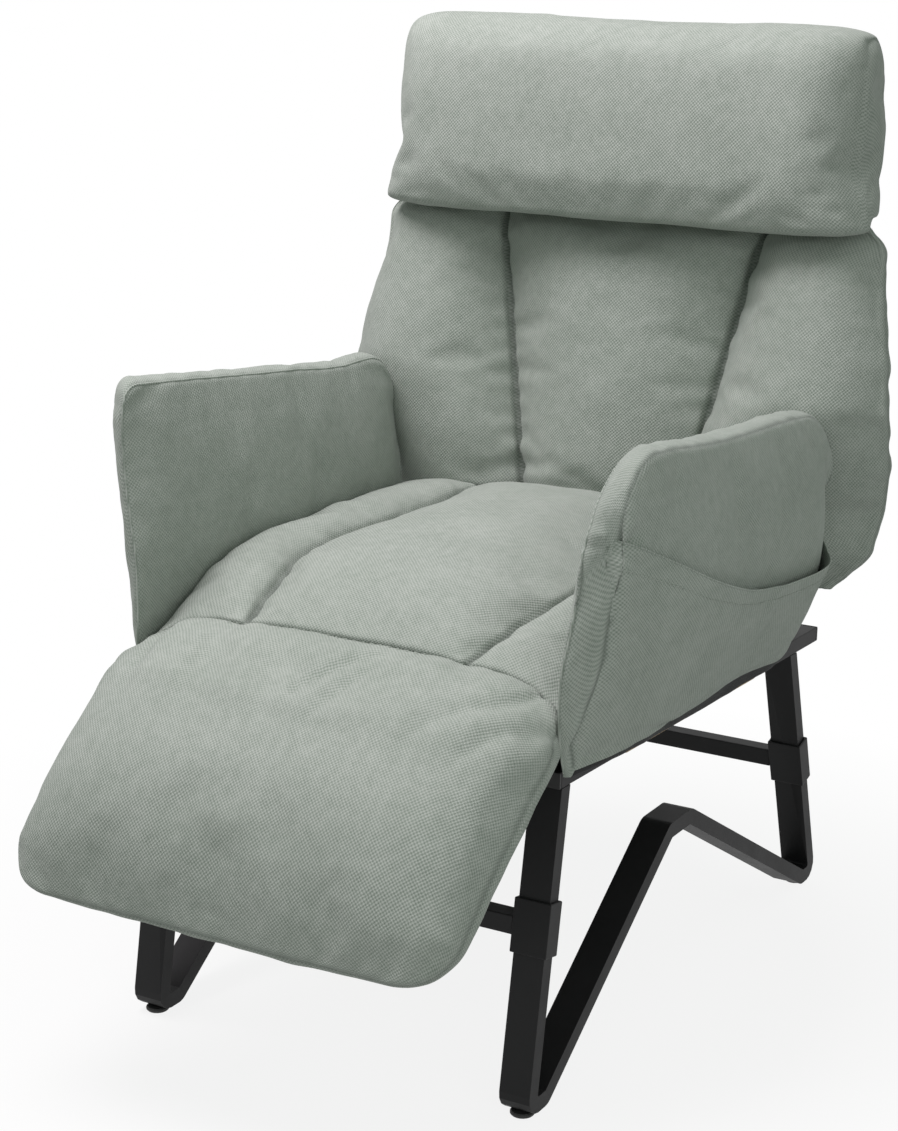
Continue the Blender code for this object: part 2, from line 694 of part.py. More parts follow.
def build_bolt(name, seat, x, y):
    """A bolt with its head under the rail and its tip inside the seat tube."""
    tip = SEAT_TUBE_Z - FIT_GAP
    profile = [(0, tip), (BOLT_RADIUS, tip), (BOLT_RADIUS, -FIT_GAP), (BOLT_HEAD_RADIUS, -FIT_GAP),
               (BOLT_HEAD_RADIUS, -FIT_GAP - BOLT_HEAD_HEIGHT / 2),
               (BOLT_HEAD_RADIUS * 0.7, -FIT_GAP - BOLT_HEAD_HEIGHT), (0, -FIT_GAP - BOLT_HEAD_HEIGHT)]
    turned_part(name, profile, BARE_STEEL, (x, y, 0), seat)


SEAT_ROWS = (0.0, 0.03, 0.08, 0.15, 0.25, 0.37, 0.5, 0.63, 0.76, 0.87, 0.95, 1.0)
SEAT_RISE = [(0.0, 0.0), (0.10, 0.45), (0.26, 0.85), (0.5, 1.0), (0.9, 0.97), (1.0, 0.90)]


def seat_ring(row, rear):
    """Ring of the seat pad at a share of its length from the front to the rear."""
    front = FOOT_AXIS_Y + SEAT_TOP_SETBACK
    y = front + row * (rear - front)
    low_front = FOOT_AXIS_Y + SEAT_LOW_SETBACK
    height = SEAT_FRONT_HEIGHT + (SEAT_HEIGHT - SEAT_FRONT_HEIGHT) * smooth_value(SEAT_RISE, row)
    seam = SEAT_CHANNEL * (0.84 + 0.16 * smooth_value([(0.0, 0.0), (0.4, 1.0)], row))
    dip = SEAT_SEAM_DEPTH * puff(0.03 + 0.94 * row, 6.0)
    lean = (SEAT_LOW_SETBACK - SEAT_TOP_SETBACK) / SEAT_FRONT_HEIGHT * (1 - row)
    top = []
    for channel, share, x in channel_places((-SEAT_HALF_WIDTH, -seam, seam, SEAT_HALF_WIDTH)):
        outward = 0.0 if channel == 1 else (1 - share if channel == 0 else share)
        drop = SEAT_SIDE_DROP * (0.4 * outward + 0.6 * outward ** 4) + dip * (1 - puff(share, 3.0))
        top.append((x, y + lean * drop, CUSHION_BOTTOM + height - drop))
    base = [(x, low_front + row * (rear - low_front), CUSHION_BOTTOM) for x, _, _ in reversed(top)]
    return top + base


def build_seat_cushion(seat):
    """A seat pad with a crowned middle channel and a lower channel on each side."""
    rear = RECLINE_Y - SEAT_REAR_GAP
    mesh = soft_mesh("seat_cushion", [seat_ring(row, rear) for row in SEAT_ROWS])
    cushion = add_part("seat_cushion", mesh, SAGE_FABRIC, seat)
    for side, sign in SIDES.items():
        low = (sign * (FIXED_LEAF_X - FIXED_LEAF_ROOM), FOOT_AXIS_Y, CUSHION_BOTTOM - LEAF_RADIUS)
        high = (sign * (FIXED_LEAF_X + FIXED_LEAF_ROOM), SEAT_TUBE_FRONT + LEAF_REACH + SWING_ROOM,
                FOOT_AXIS_Z + SWING_ROOM)
        cut_block(cushion, f"{side}_seat_notch", low, high, seat)


# Arms

ARM_ROWS = sorted((0.0, 0.015, 0.06, 0.12, 0.2, 0.3, 0.42, 0.54, 0.66, 0.78, 0.88, 0.985, 1.0,
                   POCKET_FIRST, POCKET_LAST))
ARM_LEVELS = (0.0, 0.07, 0.16, 0.28, 0.4, 0.52, 0.66, 0.8, 0.92, 1.0)
ARM_LEAN = [(0.0, 0.0), (0.45, 0.8), (0.75, 1.0), (1.0, 0.98)]


def arm_outer_x(share_along, share_up):
    """Distance from the middle of the chair to an arm's outer face."""
    lean = smooth_value(ARM_LEAN, share_up)
    spread = ARM_WIDTH_LOW + (ARM_WIDTH_TOP - ARM_WIDTH_LOW) * lean
    return ARM_INNER_X + spread + ARM_FLARE * share_along * lean


def arm_point(share_along, share_up, outer):
    """A point on the sitter's left arm, on its inner or its outer face."""
    from_front = share_along * ARM_LENGTH
    to_rear = (1 - share_along) * ARM_LENGTH
    corner = 0.0
    for distance in (from_front, to_rear):
        if distance < ARM_CORNER:
            corner += ARM_CORNER_DROP * (1 - math.sqrt(1 - (1 - distance / ARM_CORNER) ** 2))
    top = ARM_TOP_Z - ARM_REAR_DROP * share_along - corner
    z = ARM_BOTTOM_Z + share_up * (top - ARM_BOTTOM_Z)
    outer_x = arm_outer_x(share_along, share_up)
    edge = max(0.0, (share_up - 0.8) / 0.2)
    middle_x = (ARM_INNER_X + outer_x) / 2
    end = 1 - 0.30 * max(0.0, 1 - min(from_front, to_rear) / ARM_END_ROUNDING)
    half = (outer_x - ARM_INNER_X) / 2 * math.sqrt(1 - 0.72 * edge * edge) * end
    x = middle_x + (half if outer else -half)
    skew = ARM_FRONT_SKEW * (x - ARM_INNER_X) * max(0.0, 1 - share_along / 0.35)
    return (x, ARM_FRONT_Y + from_front + skew, z)


def mirrored(point, sign):
    """Move a point on the sitter's left to the named side."""
    return (point[0] * sign, point[1], point[2])


def build_arms(seat):
    """Two upholstered arms, each a pad over a board that a spacer ties to the seat tube."""
    board_front = ARM_FRONT_Y + BOARD_MARGIN
    board_rear = ARM_REAR_Y - BOARD_MARGIN
    board_top = ARM_TOP_Z - BOARD_MARGIN
    board_low = RAIL_TOP + FIT_GAP
    slot = BOARD_THICKNESS / 2 + FIT_GAP
    middle = (board_front + board_rear) / 2
    corners = [(board_front, board_low), (board_rear, board_low), (board_rear, board_top),
               (board_front, board_top)]
    for side, sign in SIDES.items():
        rings = []
        for row in ARM_ROWS:
            inner = [mirrored(arm_point(row, level, False), sign) for level in ARM_LEVELS]
            outer = [mirrored(arm_point(row, level, True), sign) for level in reversed(ARM_LEVELS)]
            rings.append(inner + outer)
        pad = add_part(f"{side}_arm_pad", soft_mesh(f"{side}_arm_pad", rings), SAGE_FABRIC, seat)
        cut_block(pad, f"{side}_board_slot",
                  (sign * (BOARD_X - slot), board_front - FIT_GAP, board_low - BOARD_MARGIN),
                  (sign * (BOARD_X + slot), board_rear + FIT_GAP, board_top + FIT_GAP), seat)
        cut_block(pad, f"{side}_spacer_relief",
                  (sign * SEAT_TUBE_X, board_front - FIT_GAP, board_low - BOARD_MARGIN),
                  (sign * (BOARD_X + slot), board_rear + FIT_GAP, board_low + SPACER_HEIGHT + FIT_GAP), seat)
        outline = rounded_line(corners, BOARD_CORNER, closed=True)
        board = mesh_of(outline_curve(f"{side}_arm_board", [outline], BOARD_THICKNESS / 2))
        add_part(f"{side}_arm_board", board, PLYWOOD, seat, (sign * BOARD_X, 0, 0), TURN_TO_X)
        tube_side = SEAT_TUBE_X + SEAT_TUBE_RADIUS + FIT_GAP
        spacer = block_mesh(f"{side}_arm_spacer",
                            (sign * tube_side, middle - SPACER_LENGTH / 2, board_low),
                            (sign * (BOARD_X - slot), middle + SPACER_LENGTH / 2, board_low + SPACER_HEIGHT))
        add_part(f"{side}_arm_spacer", spacer, BARE_STEEL, seat)
        build_pocket(side, sign, seat)


POCKET_LEVELS = (0.0, 0.08, 0.25, 0.45, 0.65, 0.85, 1.0)
POCKET_CURVE = [(0.0, 0.0), (0.17, 0.30), (0.4, 0.74), (0.55, 0.92), (0.8, 1.0), (0.94, 0.97), (1.0, 0.85)]


def build_pocket(side, sign, seat):
    """A fabric panel on the outer side of an arm, sewn at its ends and foot, open at the top."""
    rings = []
    for row in ARM_ROWS:
        if not POCKET_FIRST <= row <= POCKET_LAST:
            continue
        along = (row - POCKET_FIRST) / (POCKET_LAST - POCKET_FIRST)
        mouth = POCKET_BOTTOM_Z + POCKET_HEIGHT - POCKET_SAG * smooth_value(POCKET_CURVE, along)
        swell = POCKET_MOUTH * puff(0.02 + 0.96 * along, 4.0)
        inner, outer = [], []
        for level in POCKET_LEVELS:
            z = POCKET_BOTTOM_Z + level * (mouth - POCKET_BOTTOM_Z)
            skin = arm_skin(row, z)
            gap = FIT_GAP + swell * level
            inner.append(mirrored((skin[0] + gap, skin[1], z), sign))
            outer.append(mirrored((skin[0] + gap + POCKET_WALL, skin[1], z), sign))
        rings.append(inner + outer[::-1])
    add_part(f"{side}_arm_pocket", soft_mesh(f"{side}_arm_pocket", rings), SAGE_FABRIC, seat)


def arm_skin(row, height):
    """The point of an arm's outer face at a height."""
    levels = [arm_point(row, level, True) for level in ARM_LEVELS]
    for low, high in zip(levels, levels[1:]):
        if low[2] <= height <= high[2]:
            share = (height - low[2]) / (high[2] - low[2])
            return tuple(a + share * (b - a) for a, b in zip(low, high))
    return levels[-1]


# Hinges

def leaf(name, axis, tail, x, has_pin, inward, pivot):
    """A steel leaf between a hinge axis and a tube, with a pin or a hole at the axis."""
    loops = [capsule_points(axis, tail, LEAF_RADIUS)]
    if not has_pin:
        hole = (PIN_RADIUS + PIN_CLEARANCE) / math.cos(math.pi / PIN_SEGMENTS)
        loops.append(circle_points(axis, hole, PIN_SEGMENTS))
    plate = mesh_of(outline_curve(name, loops, LEAF_THICKNESS / 2))
    obj = add_part(name, plate, BARE_STEEL, pivot, (x, 0, 0), TURN_TO_X)
    if has_pin:
        reach = LEAF_THICKNESS + FIT_GAP + PIN_STAND + LEAF_THICKNESS / 2
        curve = outline_curve(name + "_pin", [circle_points(axis, PIN_RADIUS, PIN_SEGMENTS)], reach / 2)
        place = (x + inward * reach / 2, 0, 0)
        boolean(obj, add_cutter(name + "_pin", mesh_of(curve), pivot, place, TURN_TO_X), "UNION")
    return obj


def build_recline_hinges(seat, back):
    """Leaves between the seat tubes and the back frame."""
    tail = (SEAT_TUBE_REAR - LEAF_REACH, SEAT_TUBE_Z + LEAF_TAIL_RISE)
    for side, sign in SIDES.items():
        leaf(f"{side}_recline_seat_leaf", (RECLINE_Y, RECLINE_Z), tail, sign * FIXED_LEAF_X, True, -sign,
             seat)
        leaf(f"{side}_recline_back_leaf", (0, 0), (0, BACK_FRAME_START + LEAF_REACH), sign * MOVING_LEAF_X,
             False, -sign, back)


def build_footrest_hinges(seat, foot):
    """Leaves between the seat tubes and the footrest frame."""
    tail = (SEAT_TUBE_FRONT + LEAF_REACH, SEAT_TUBE_Z + LEAF_TAIL_RISE)
    for side, sign in SIDES.items():
        leaf(f"{side}_footrest_seat_leaf", (FOOT_AXIS_Y, FOOT_AXIS_Z), tail, sign * FIXED_LEAF_X, True,
             -sign, seat)
        leaf(f"{side}_footrest_leaf", (0, 0), (-FOOT_FRAME_START - LEAF_REACH, 0), sign * MOVING_LEAF_X,
             False, -sign, foot)


def build_head_hinges(back, head):
    """Leaves between the back frame and the head frame."""
    tail = (-SEAT_TUBE_RADIUS - FIT_GAP - LEAF_RADIUS, BACK_FRAME_TOP)
    for side, sign in SIDES.items():
        leaf(f"{side}_head_back_leaf", HEAD_PIVOT[1:], tail, sign * HEAD_FIXED_LEAF_X, True, -sign, back)
        leaf(f"{side}_head_leaf", (0, 0), (0, BACK_FRAME_START + LEAF_REACH), sign * HEAD_LEAF_X,
             False, -sign, head)


# Back

BACK_OUTLINE = [(-0.16, 0.82), (0.0, 0.96), (0.4, 1.0), (0.8, 0.915), (0.92, 0.92), (1.0, 0.89)]
BACK_FULLNESS = [(-0.16, 0.45), (0.0, 0.70), (0.22, 0.93), (0.45, 1.0), (0.75, 0.95), (1.0, 0.80)]
BACK_WRAP = [(0.2, 0.0), (0.6, 1.0)]
BACK_ROWS = (0.08, 0.18, 0.3, 0.42, 0.54, 0.66, 0.76, 0.84, 0.9, 0.95, 0.985, 1.0)


def build_back(back):
    """The back: a hoop of tube with webbing, inside a pad with three upright channels."""
    line = [(x, 0.0, z) for x, z in hoop(BACK_TUBE_X, BACK_FRAME_START, BACK_FRAME_TOP, FRAME_BEND)]
    bent_tube("back_frame", line, SEAT_TUBE_RADIUS, ROUND_TUBE_WALL, back)
    reach = BACK_TUBE_X + STRAP_OVERLAP
    front = -SEAT_TUBE_RADIUS - FIT_GAP - STRAP_THICKNESS
    for number in range(2):
        z = BACK_FRAME_TOP * (0.38 + 0.34 * number)
        mesh = block_mesh(f"back_strap_{number + 1}", (-reach, front, z - STRAP_WIDTH / 2),
                          (reach, front + STRAP_THICKNESS, z + STRAP_WIDTH / 2))
        add_part(f"back_strap_{number + 1}", mesh, BLACK_WEBBING, back)
    build_back_cushion(back, min(front - FIT_GAP, -LEAF_ROOM))


def back_ring(z):
    """Ring of the back pad at a height above the hinge axis."""
    share = z / BACK_LENGTH
    half_width = BACK_WIDTH / 2 * smooth_value(BACK_OUTLINE, share)
    seam = BACK_SEAM_LOW + (BACK_SEAM_TOP - BACK_SEAM_LOW) * max(0.0, min(1.0, share))
    heel = math.sqrt(BACK_HEEL_RADIUS ** 2 - min(z, 0.0) ** 2)
    most = heel if z < SWING_CLEARANCE else BACK_LENGTH
    top_round = math.sqrt(1 - 0.85 * max(0.0, (share - 0.86) / 0.14) ** 2)
    lobe = BACK_LOBE_DEPTH * smooth_value(BACK_FULLNESS, share)
    wing = BACK_WING * smooth_value(BACK_WRAP, share)
    front, rear = [], []
    for channel, part, x in channel_places((-half_width, -seam, seam, half_width)):
        if channel == 1:
            depth = BACK_SEAM_DEPTH + (BACK_CENTRE_DEPTH - BACK_SEAM_DEPTH) * puff(part, 3.4)
            edge, shift = 1.0, 0.0
        else:
            outward = part if channel == 2 else 1 - part
            shift = wing * outward ** 2
            depth = BACK_SEAM_DEPTH * (1 - outward) + (lobe - BACK_SEAM_DEPTH * 0.5) * puff(outward, 3.0)
            edge = math.sqrt(1 - 0.94 * max(0.0, outward - 0.4) ** 2 / 0.36)
        front.append((x, -shift - max(BACK_LEAST_DEPTH, min(depth, most) * top_round), z))
        rear.append((x, -shift + max(BACK_LEAST_DEPTH, min(BACK_REAR_DEPTH * edge, most) * top_round), z))
    return front + rear[::-1]


def build_back_cushion(back, front_face):
    """The back pad, with a pocket for the frame and notches for the hinge leaves."""
    low = SWING_CLEARANCE - BACK_HEEL_RADIUS
    rows = [low, low * 0.88, low * 0.6, low * 0.3, 0.0]
    rows += [BACK_LENGTH * share for share in BACK_ROWS]
    pad = add_part("back_cushion", soft_mesh("back_cushion", [back_ring(z) for z in rows]), SAGE_FABRIC, back)
    half_width = MOVING_LEAF_X + LEAF_THICKNESS / 2 + FIT_GAP
    cut_block(pad, "back_frame_pocket", (-half_width, front_face, -2 * BACK_HEEL_RADIUS),
              (half_width, LEAF_ROOM, BACK_FRAME_TOP + SEAT_TUBE_RADIUS + FIT_GAP), back)
    for side, sign in SIDES.items():
        cut_block(pad, f"{side}_recline_notch",
                  (sign * (MOVING_LEAF_X - PIN_SIDE_ROOM), -SWING_ROOM - LEAF_RADIUS, -2 * BACK_HEEL_RADIUS),
                  (sign * (FIXED_LEAF_X + FIXED_LEAF_ROOM), 2 * BACK_HEEL_RADIUS, SWING_ROOM), back)
        cut_block(pad, f"{side}_head_notch",
                  (sign * (HEAD_LEAF_X - PIN_SIDE_ROOM), -HEAD_AXIS_LEAD - SWING_ROOM,
                   BACK_FRAME_TOP - 2 * LEAF_REACH),
                  (sign * (HEAD_FIXED_LEAF_X + FIXED_LEAF_ROOM), LEAF_ROOM, 2 * BACK_LENGTH), back)


# Head pillow

PILLOW_SECTION = (
    (0.0, 0.46), (0.02, 0.30), (0.09, 0.10), (0.24, 0.015), (0.5, 0.0), (0.76, 0.02), (0.91, 0.11), (0.98, 0.28),
    (1.0, 0.42),
)
PILLOW_SHARES = (-1.0, -0.985, -0.95, -0.88, -0.78, -0.55, -0.28, 0.0, 0.28, 0.55, 0.78, 0.88, 0.95, 0.985, 1.0)
HEAD_SWING_STEPS = 4


def pillow_ring(x):
    """Ring of the pillow at a distance from the middle of the chair."""
    end = max(0.0, (abs(x) - PILLOW_WIDTH / 2 + PILLOW_END) / PILLOW_END)
    draw_in = 1 - 0.26 * end ** 3
    height = PILLOW_TOP + PILLOW_DROP
    depth = PILLOW_FRONT + PILLOW_REAR
    middle_z = (PILLOW_TOP - PILLOW_DROP) / 2
    middle_y = (PILLOW_REAR - PILLOW_FRONT) / 2
    front, rear = [], []
    for rise, tuck in PILLOW_SECTION:
        z = middle_z + (rise - 0.5) * height * draw_in
        y = middle_y + (tuck - 0.5) * depth * draw_in
        front.append((x, y, z))
        rear.append((x, 2 * middle_y - y, z))
    return front + rear[::-1]


def build_head(back, head):
    """The head pillow over a small hoop of tube, cut to clear the top of the back."""
    line = [(x, 0.0, z) for x, z in hoop(HEAD_TUBE_X, BACK_FRAME_START, HEAD_FRAME_HEIGHT, FRAME_BEND)]
    bent_tube("head_frame", line, HEAD_TUBE_RADIUS, HEAD_TUBE_WALL, head)
    rings = [pillow_ring(share * PILLOW_WIDTH / 2) for share in PILLOW_SHARES]
    pillow = add_part("head_pillow", soft_mesh("head_pillow", rings), SAGE_FABRIC, head)
    half_width = HEAD_LEAF_X + LEAF_THICKNESS / 2 + FIT_GAP
    cut_block(pillow, "head_frame_pocket", (-half_width, -LEAF_ROOM, -PILLOW_TOP),
              (half_width, LEAF_ROOM, HEAD_FRAME_HEIGHT + HEAD_TUBE_RADIUS + FIT_GAP), head)
    for side, sign in SIDES.items():
        cut_block(pillow, f"{side}_pillow_notch",
                  (sign * (HEAD_LEAF_X - PIN_SIDE_ROOM), -2 * SWING_ROOM, -PILLOW_TOP),
                  (sign * (HEAD_FIXED_LEAF_X + FIXED_LEAF_ROOM), 2 * SWING_ROOM, SWING_ROOM), head)
    build_pillow_clearance(pillow, back)


def build_pillow_clearance(pillow, back):
    """Cut from the pillow what would meet the top of the back as the head turns."""
    low = (-PILLOW_WIDTH, HEAD_AXIS_LEAD - BACK_LOBE_DEPTH - SWING_CLEARANCE, -HEAD_AXIS_RISE)
    high = (PILLOW_WIDTH, 2 * BACK_REAR_DEPTH, BACK_LENGTH - HEAD_AXIS_RISE + SWING_CLEARANCE)
    mesh = block_mesh("back_envelope", low, high)
    for step in range(HEAD_SWING_STEPS + 1):
        turn = -HEAD_FORWARD + (HEAD_FORWARD + HEAD_BACKWARD) * step / HEAD_SWING_STEPS
        envelope = add_cutter(f"head_swing_{step + 1}", mesh, back, HEAD_PIVOT, (turn, 0, 0))
        boolean(pillow, envelope, "DIFFERENCE")


# Footrest

FOOT_ROWS = (0.0, 0.03, 0.08, 0.14, 0.22, 0.33, 0.46, 0.6, 0.73, 0.84, 0.91, 0.96, 0.99, 1.0)
FOOT_PLACES = (0.0, 0.02, 0.07, 0.17, 0.32, 0.5, 0.68, 0.83, 0.93, 0.98, 1.0)
FOOT_ARCH = [(0.1, 0.0), (0.35, 0.7), (0.6, 1.0), (0.85, 0.45), (1.0, -0.3)]


def foot_ring(share):
    """Ring of the footrest pad at a share of its length from the heel to the tip."""
    y = FOOT_HEEL_RADIUS - share * (FOOT_LENGTH + FOOT_HEEL_RADIUS)
    tip = min(1.0, max(0.0, (-y - FOOT_LENGTH + FOOT_CORNER) / FOOT_CORNER))
    tuck = FOOT_HEEL_INSET * max(0.0, min(1.0, 1 + (y + FOOT_HEEL_RADIUS * 0.5) / FOOT_HEEL_RADIUS))
    half_width = FOOT_WIDTH / 2 - tuck - FOOT_CORNER * (1 - math.sqrt(1 - 0.9 * tip ** 2))
    heel = math.sqrt(max(0.05, 1 - max(0.0, y / FOOT_HEEL_RADIUS) ** 2))
    end = math.sqrt(1 - 0.9 * tip ** 3)
    arch = FOOT_CROWN * smooth_value(FOOT_ARCH, share)
    upper, lower = [], []
    for part in FOOT_PLACES:
        across = 2 * part - 1
        crown = math.sqrt(1 - 0.9 * abs(across) ** 6)
        upper.append((across * half_width, y, FOOT_TOP * heel * crown * end + arch))
        lower.append((across * half_width, y, -FOOT_UNDER * heel * crown * end + 0.4 * arch))
    return upper + lower[::-1]


def build_footrest(foot):
    """The footrest: a hoop of tube inside a pad that tapers to its tip."""
    line = [(x, -y, 0.0) for x, y in hoop(FOOT_TUBE_X, FOOT_FRAME_START, FOOT_FRAME_LENGTH, FRAME_BEND)]
    bent_tube("footrest_frame", line, FOOT_TUBE_RADIUS, ROUND_TUBE_WALL, foot)
    mesh = soft_mesh("footrest_cushion", [foot_ring(row) for row in FOOT_ROWS])
    pad = add_part("footrest_cushion", mesh, SAGE_FABRIC, foot)
    half_width = MOVING_LEAF_X + LEAF_THICKNESS / 2 + FIT_GAP
    cut_block(pad, "footrest_frame_pocket",
              (-half_width, -FOOT_FRAME_LENGTH - FOOT_TUBE_RADIUS - FIT_GAP, -LEAF_ROOM),
              (half_width, 2 * FOOT_HEEL_RADIUS, LEAF_ROOM), foot)
    for side, sign in SIDES.items():
        cut_block(pad, f"{side}_footrest_notch",
                  (sign * (MOVING_LEAF_X - PIN_SIDE_ROOM), -2 * SWING_ROOM, -2 * FOOT_HEEL_RADIUS),
                  (sign * (FIXED_LEAF_X + FIXED_LEAF_ROOM), 2 * FOOT_HEEL_RADIUS, SWING_ROOM), foot)


def build():
    """Build the whole chair."""
    seat = add_pivot("seat_level", (0, 0, RAIL_UNDERSIDE), -SEAT_TILT)
    back = add_pivot("back_pivot", (0, RECLINE_Y, RECLINE_Z), -BACK_TILT, seat)
    head = add_pivot("head_pivot", HEAD_PIVOT, HEAD_TILT, back)
    foot = add_pivot("footrest_pivot", (0, FOOT_AXIS_Y, FOOT_AXIS_Z), FOOT_TILT, seat)
    build_leg_frames()
    build_rails(seat)
    build_crossbars()
    build_glides()
    build_seat_frame(seat)
    build_seat_cushion(seat)
    build_arms(seat)
    build_recline_hinges(seat, back)
    build_footrest_hinges(seat, foot)
    build_head_hinges(back, head)
    build_back(back)
    build_head(back, head)
    build_footrest(foot)


build()
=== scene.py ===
"""Looks of an upholstered lounge recliner on a base of bent flat steel tube.

The chair faces -Y, +X is the sitter's left and +Z is up, in metres, in the frame of
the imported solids. Each cushion is a cover lofted through rings, pinned along its
sewn lines, filled by a cloth simulation and given its seams, puckers and weave.
"""
import logging
import math
from dataclasses import dataclass, field
from enum import Enum
from functools import lru_cache
from typing import Callable, Iterable, Sequence

import bmesh
import bpy
import numpy as np
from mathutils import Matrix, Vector, noise
from mathutils.bvhtree import BVHTree
from mathutils.kdtree import KDTree

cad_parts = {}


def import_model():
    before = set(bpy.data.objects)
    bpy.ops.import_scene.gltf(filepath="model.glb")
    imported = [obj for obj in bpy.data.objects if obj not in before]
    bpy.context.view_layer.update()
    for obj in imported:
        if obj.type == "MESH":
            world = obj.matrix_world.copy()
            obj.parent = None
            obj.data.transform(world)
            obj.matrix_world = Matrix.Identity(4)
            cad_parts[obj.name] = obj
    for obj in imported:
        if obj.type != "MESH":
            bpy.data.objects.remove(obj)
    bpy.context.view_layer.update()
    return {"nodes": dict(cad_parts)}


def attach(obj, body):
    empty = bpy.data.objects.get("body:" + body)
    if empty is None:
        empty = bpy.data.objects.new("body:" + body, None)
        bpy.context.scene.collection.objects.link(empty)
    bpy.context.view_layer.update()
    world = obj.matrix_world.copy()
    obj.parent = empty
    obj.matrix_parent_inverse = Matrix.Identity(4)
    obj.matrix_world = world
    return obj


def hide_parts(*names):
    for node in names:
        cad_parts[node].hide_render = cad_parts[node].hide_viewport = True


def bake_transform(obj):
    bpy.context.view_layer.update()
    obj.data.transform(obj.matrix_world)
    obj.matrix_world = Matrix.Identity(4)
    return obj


LOG = logging.getLogger("recliner")
WEAVE_MAP = "weave"
# Name of the point attribute that holds the shade painted along the seams
PAINTED_SEAM_SHADE = "seam"
PIN_GROUP = "pin"
PATCH_FULLNESS = 0.6
SEAM_FAR = 2.2
SEAM_DRAW = 7.3
SEAM_SHADE_WIDTH = 0.7
FINE_LUMP = 0.35
FINE_LUMP_SIZE = 0.3
Line = Sequence[Vector]
Pair = tuple[float, float]
Triple = tuple[float, float, float]


class Side(Enum):
    """The sitter's left or right, as a sign along X."""

    LEFT = 1.0
    RIGHT = -1.0

    @property
    def word(self) -> str:
        """The side's name in the names of pieces."""
        return self.name.lower()


class Mapping(Enum):
    """Where a cloth's weave is measured: on the piece's own map or in space."""

    COVER = "cover"
    SPACE = "space"


class Body(Enum):
    """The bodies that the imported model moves."""

    BASE = "base"
    BACK = "back"
    HEAD = "head"
    FOOTREST = "footrest"


# Lines and places


@lru_cache(maxsize=None)
def knot_slopes(knots: tuple[Pair, ...]) -> tuple[float, ...]:
    """Slopes at the knots of a smooth line that never overshoots them.

    Args:
        knots: Places and values, in order of place.

    Returns:
        One slope for each knot.
    """
    rises = [(b[1] - a[1]) / (b[0] - a[0]) for a, b in zip(knots, knots[1:])]
    slopes = [rises[0]]
    for before, after in zip(rises, rises[1:]):
        slopes.append(0.0 if before * after <= 0 else 2 * before * after / (before + after))
    slopes.append(rises[-1])
    return tuple(slopes)


@dataclass(frozen=True)
class Profile:
    """A smooth line through knots of place and value."""

    knots: tuple[Pair, ...]

    def at(self, place: float) -> float:
        """Value at a place, held level beyond the first and last knots.

        Args:
            place: Where along the line.

        Returns:
            The value there.
        """
        knots = self.knots
        if place <= knots[0][0]:
            return knots[0][1]
        slopes = knot_slopes(knots)
        for number, (low, high) in enumerate(zip(knots, knots[1:])):
            if place <= high[0]:
                width = high[0] - low[0]
                t = (place - low[0]) / width
                return (low[1] * (1 + 2 * t) * (1 - t) ** 2 + high[1] * t * t * (3 - 2 * t)
                        + width * t * (1 - t) * (slopes[number] * (1 - t) - slopes[number + 1] * t))
        return knots[-1][1]


@dataclass(frozen=True)
class Placement:
    """A frame that leans about X, in which a cushion's sizes are measured."""

    y: float
    z: float
    degrees: float

    def world(self, point: Sequence[float]) -> Vector:
        """The point of the chair that a point of this frame is.

        Args:
            point: Distances across, along and up in this frame.

        Returns:
            The point in the chair's frame.
        """
        turn = math.radians(self.degrees)
        across, along, up = point
        return Vector((across, self.y + along * math.cos(turn) - up * math.sin(turn),
                       self.z + along * math.sin(turn) + up * math.cos(turn)))

    def local(self, point: Sequence[float]) -> Vector:
        """The point of this frame that a point of the chair is.

        Args:
            point: A point in the chair's frame.

        Returns:
            Distances across, along and up in this frame.
        """
        turn = math.radians(self.degrees)
        along, up = point[1] - self.y, point[2] - self.z
        return Vector((point[0], along * math.cos(turn) + up * math.sin(turn),
                       -along * math.sin(turn) + up * math.cos(turn)))


SEAT_FRAME = Placement(0.0, 0.321, -2.2)
BACK_FRAME = Placement(0.352777, 0.442347, -12.0)
HEAD_FRAME = Placement(0.404103, 0.828106, -8.5)
FOOT_FRAME = Placement(-0.241788, 0.40014, 39.6)


def clamp(value: float) -> float:
    """A value held between 0 and 1."""
    return min(1.0, max(0.0, value))


def bell(distance: float, width: float) -> float:
    """A bell curve, 1 at no distance."""
    return math.exp(-(distance / width) ** 2)


def arch(share: float) -> float:
    """Half a wave, 0 at both ends and 1 in the middle."""
    return math.sin(math.pi * share)


def smooth_step(value: float) -> float:
    """A ramp from 0 to 1 with level ends."""
    value = clamp(value)
    return value * value * (3 - 2 * value)


def ramp(value: float, span: Pair) -> float:
    """A smooth step that starts at one value and takes a length to rise."""
    return smooth_step((value - span[0]) / span[1])


def puff(share: float, fullness: float) -> float:
    """Height of a stuffed channel, 0 at both of its seams and 1 in the middle."""
    return 1 - abs(2 * share - 1) ** fullness


def quarter(distance: float, radius: float) -> float:
    """Drop of a rounded corner.

    Args:
        distance: How far from the end that it rounds.
        radius: The corner's radius.

    Returns:
        How far the line lies below its full height there.
    """
    if distance >= radius:
        return 0.0
    return radius - math.sqrt(max(0.0, radius * radius - (radius - distance) ** 2))


def shares(count: int, grading: float = 0.5) -> list[float]:
    """Places from 0 to 1 that lie closer together towards both ends.

    Args:
        count: How many places.
        grading: 0 for even spacing, 1 for the closest ends.

    Returns:
        The places, in order.
    """
    even = [number / (count - 1) for number in range(count)]
    return [(1 - grading) * t + grading * (1 - math.cos(math.pi * t)) / 2 for t in even]


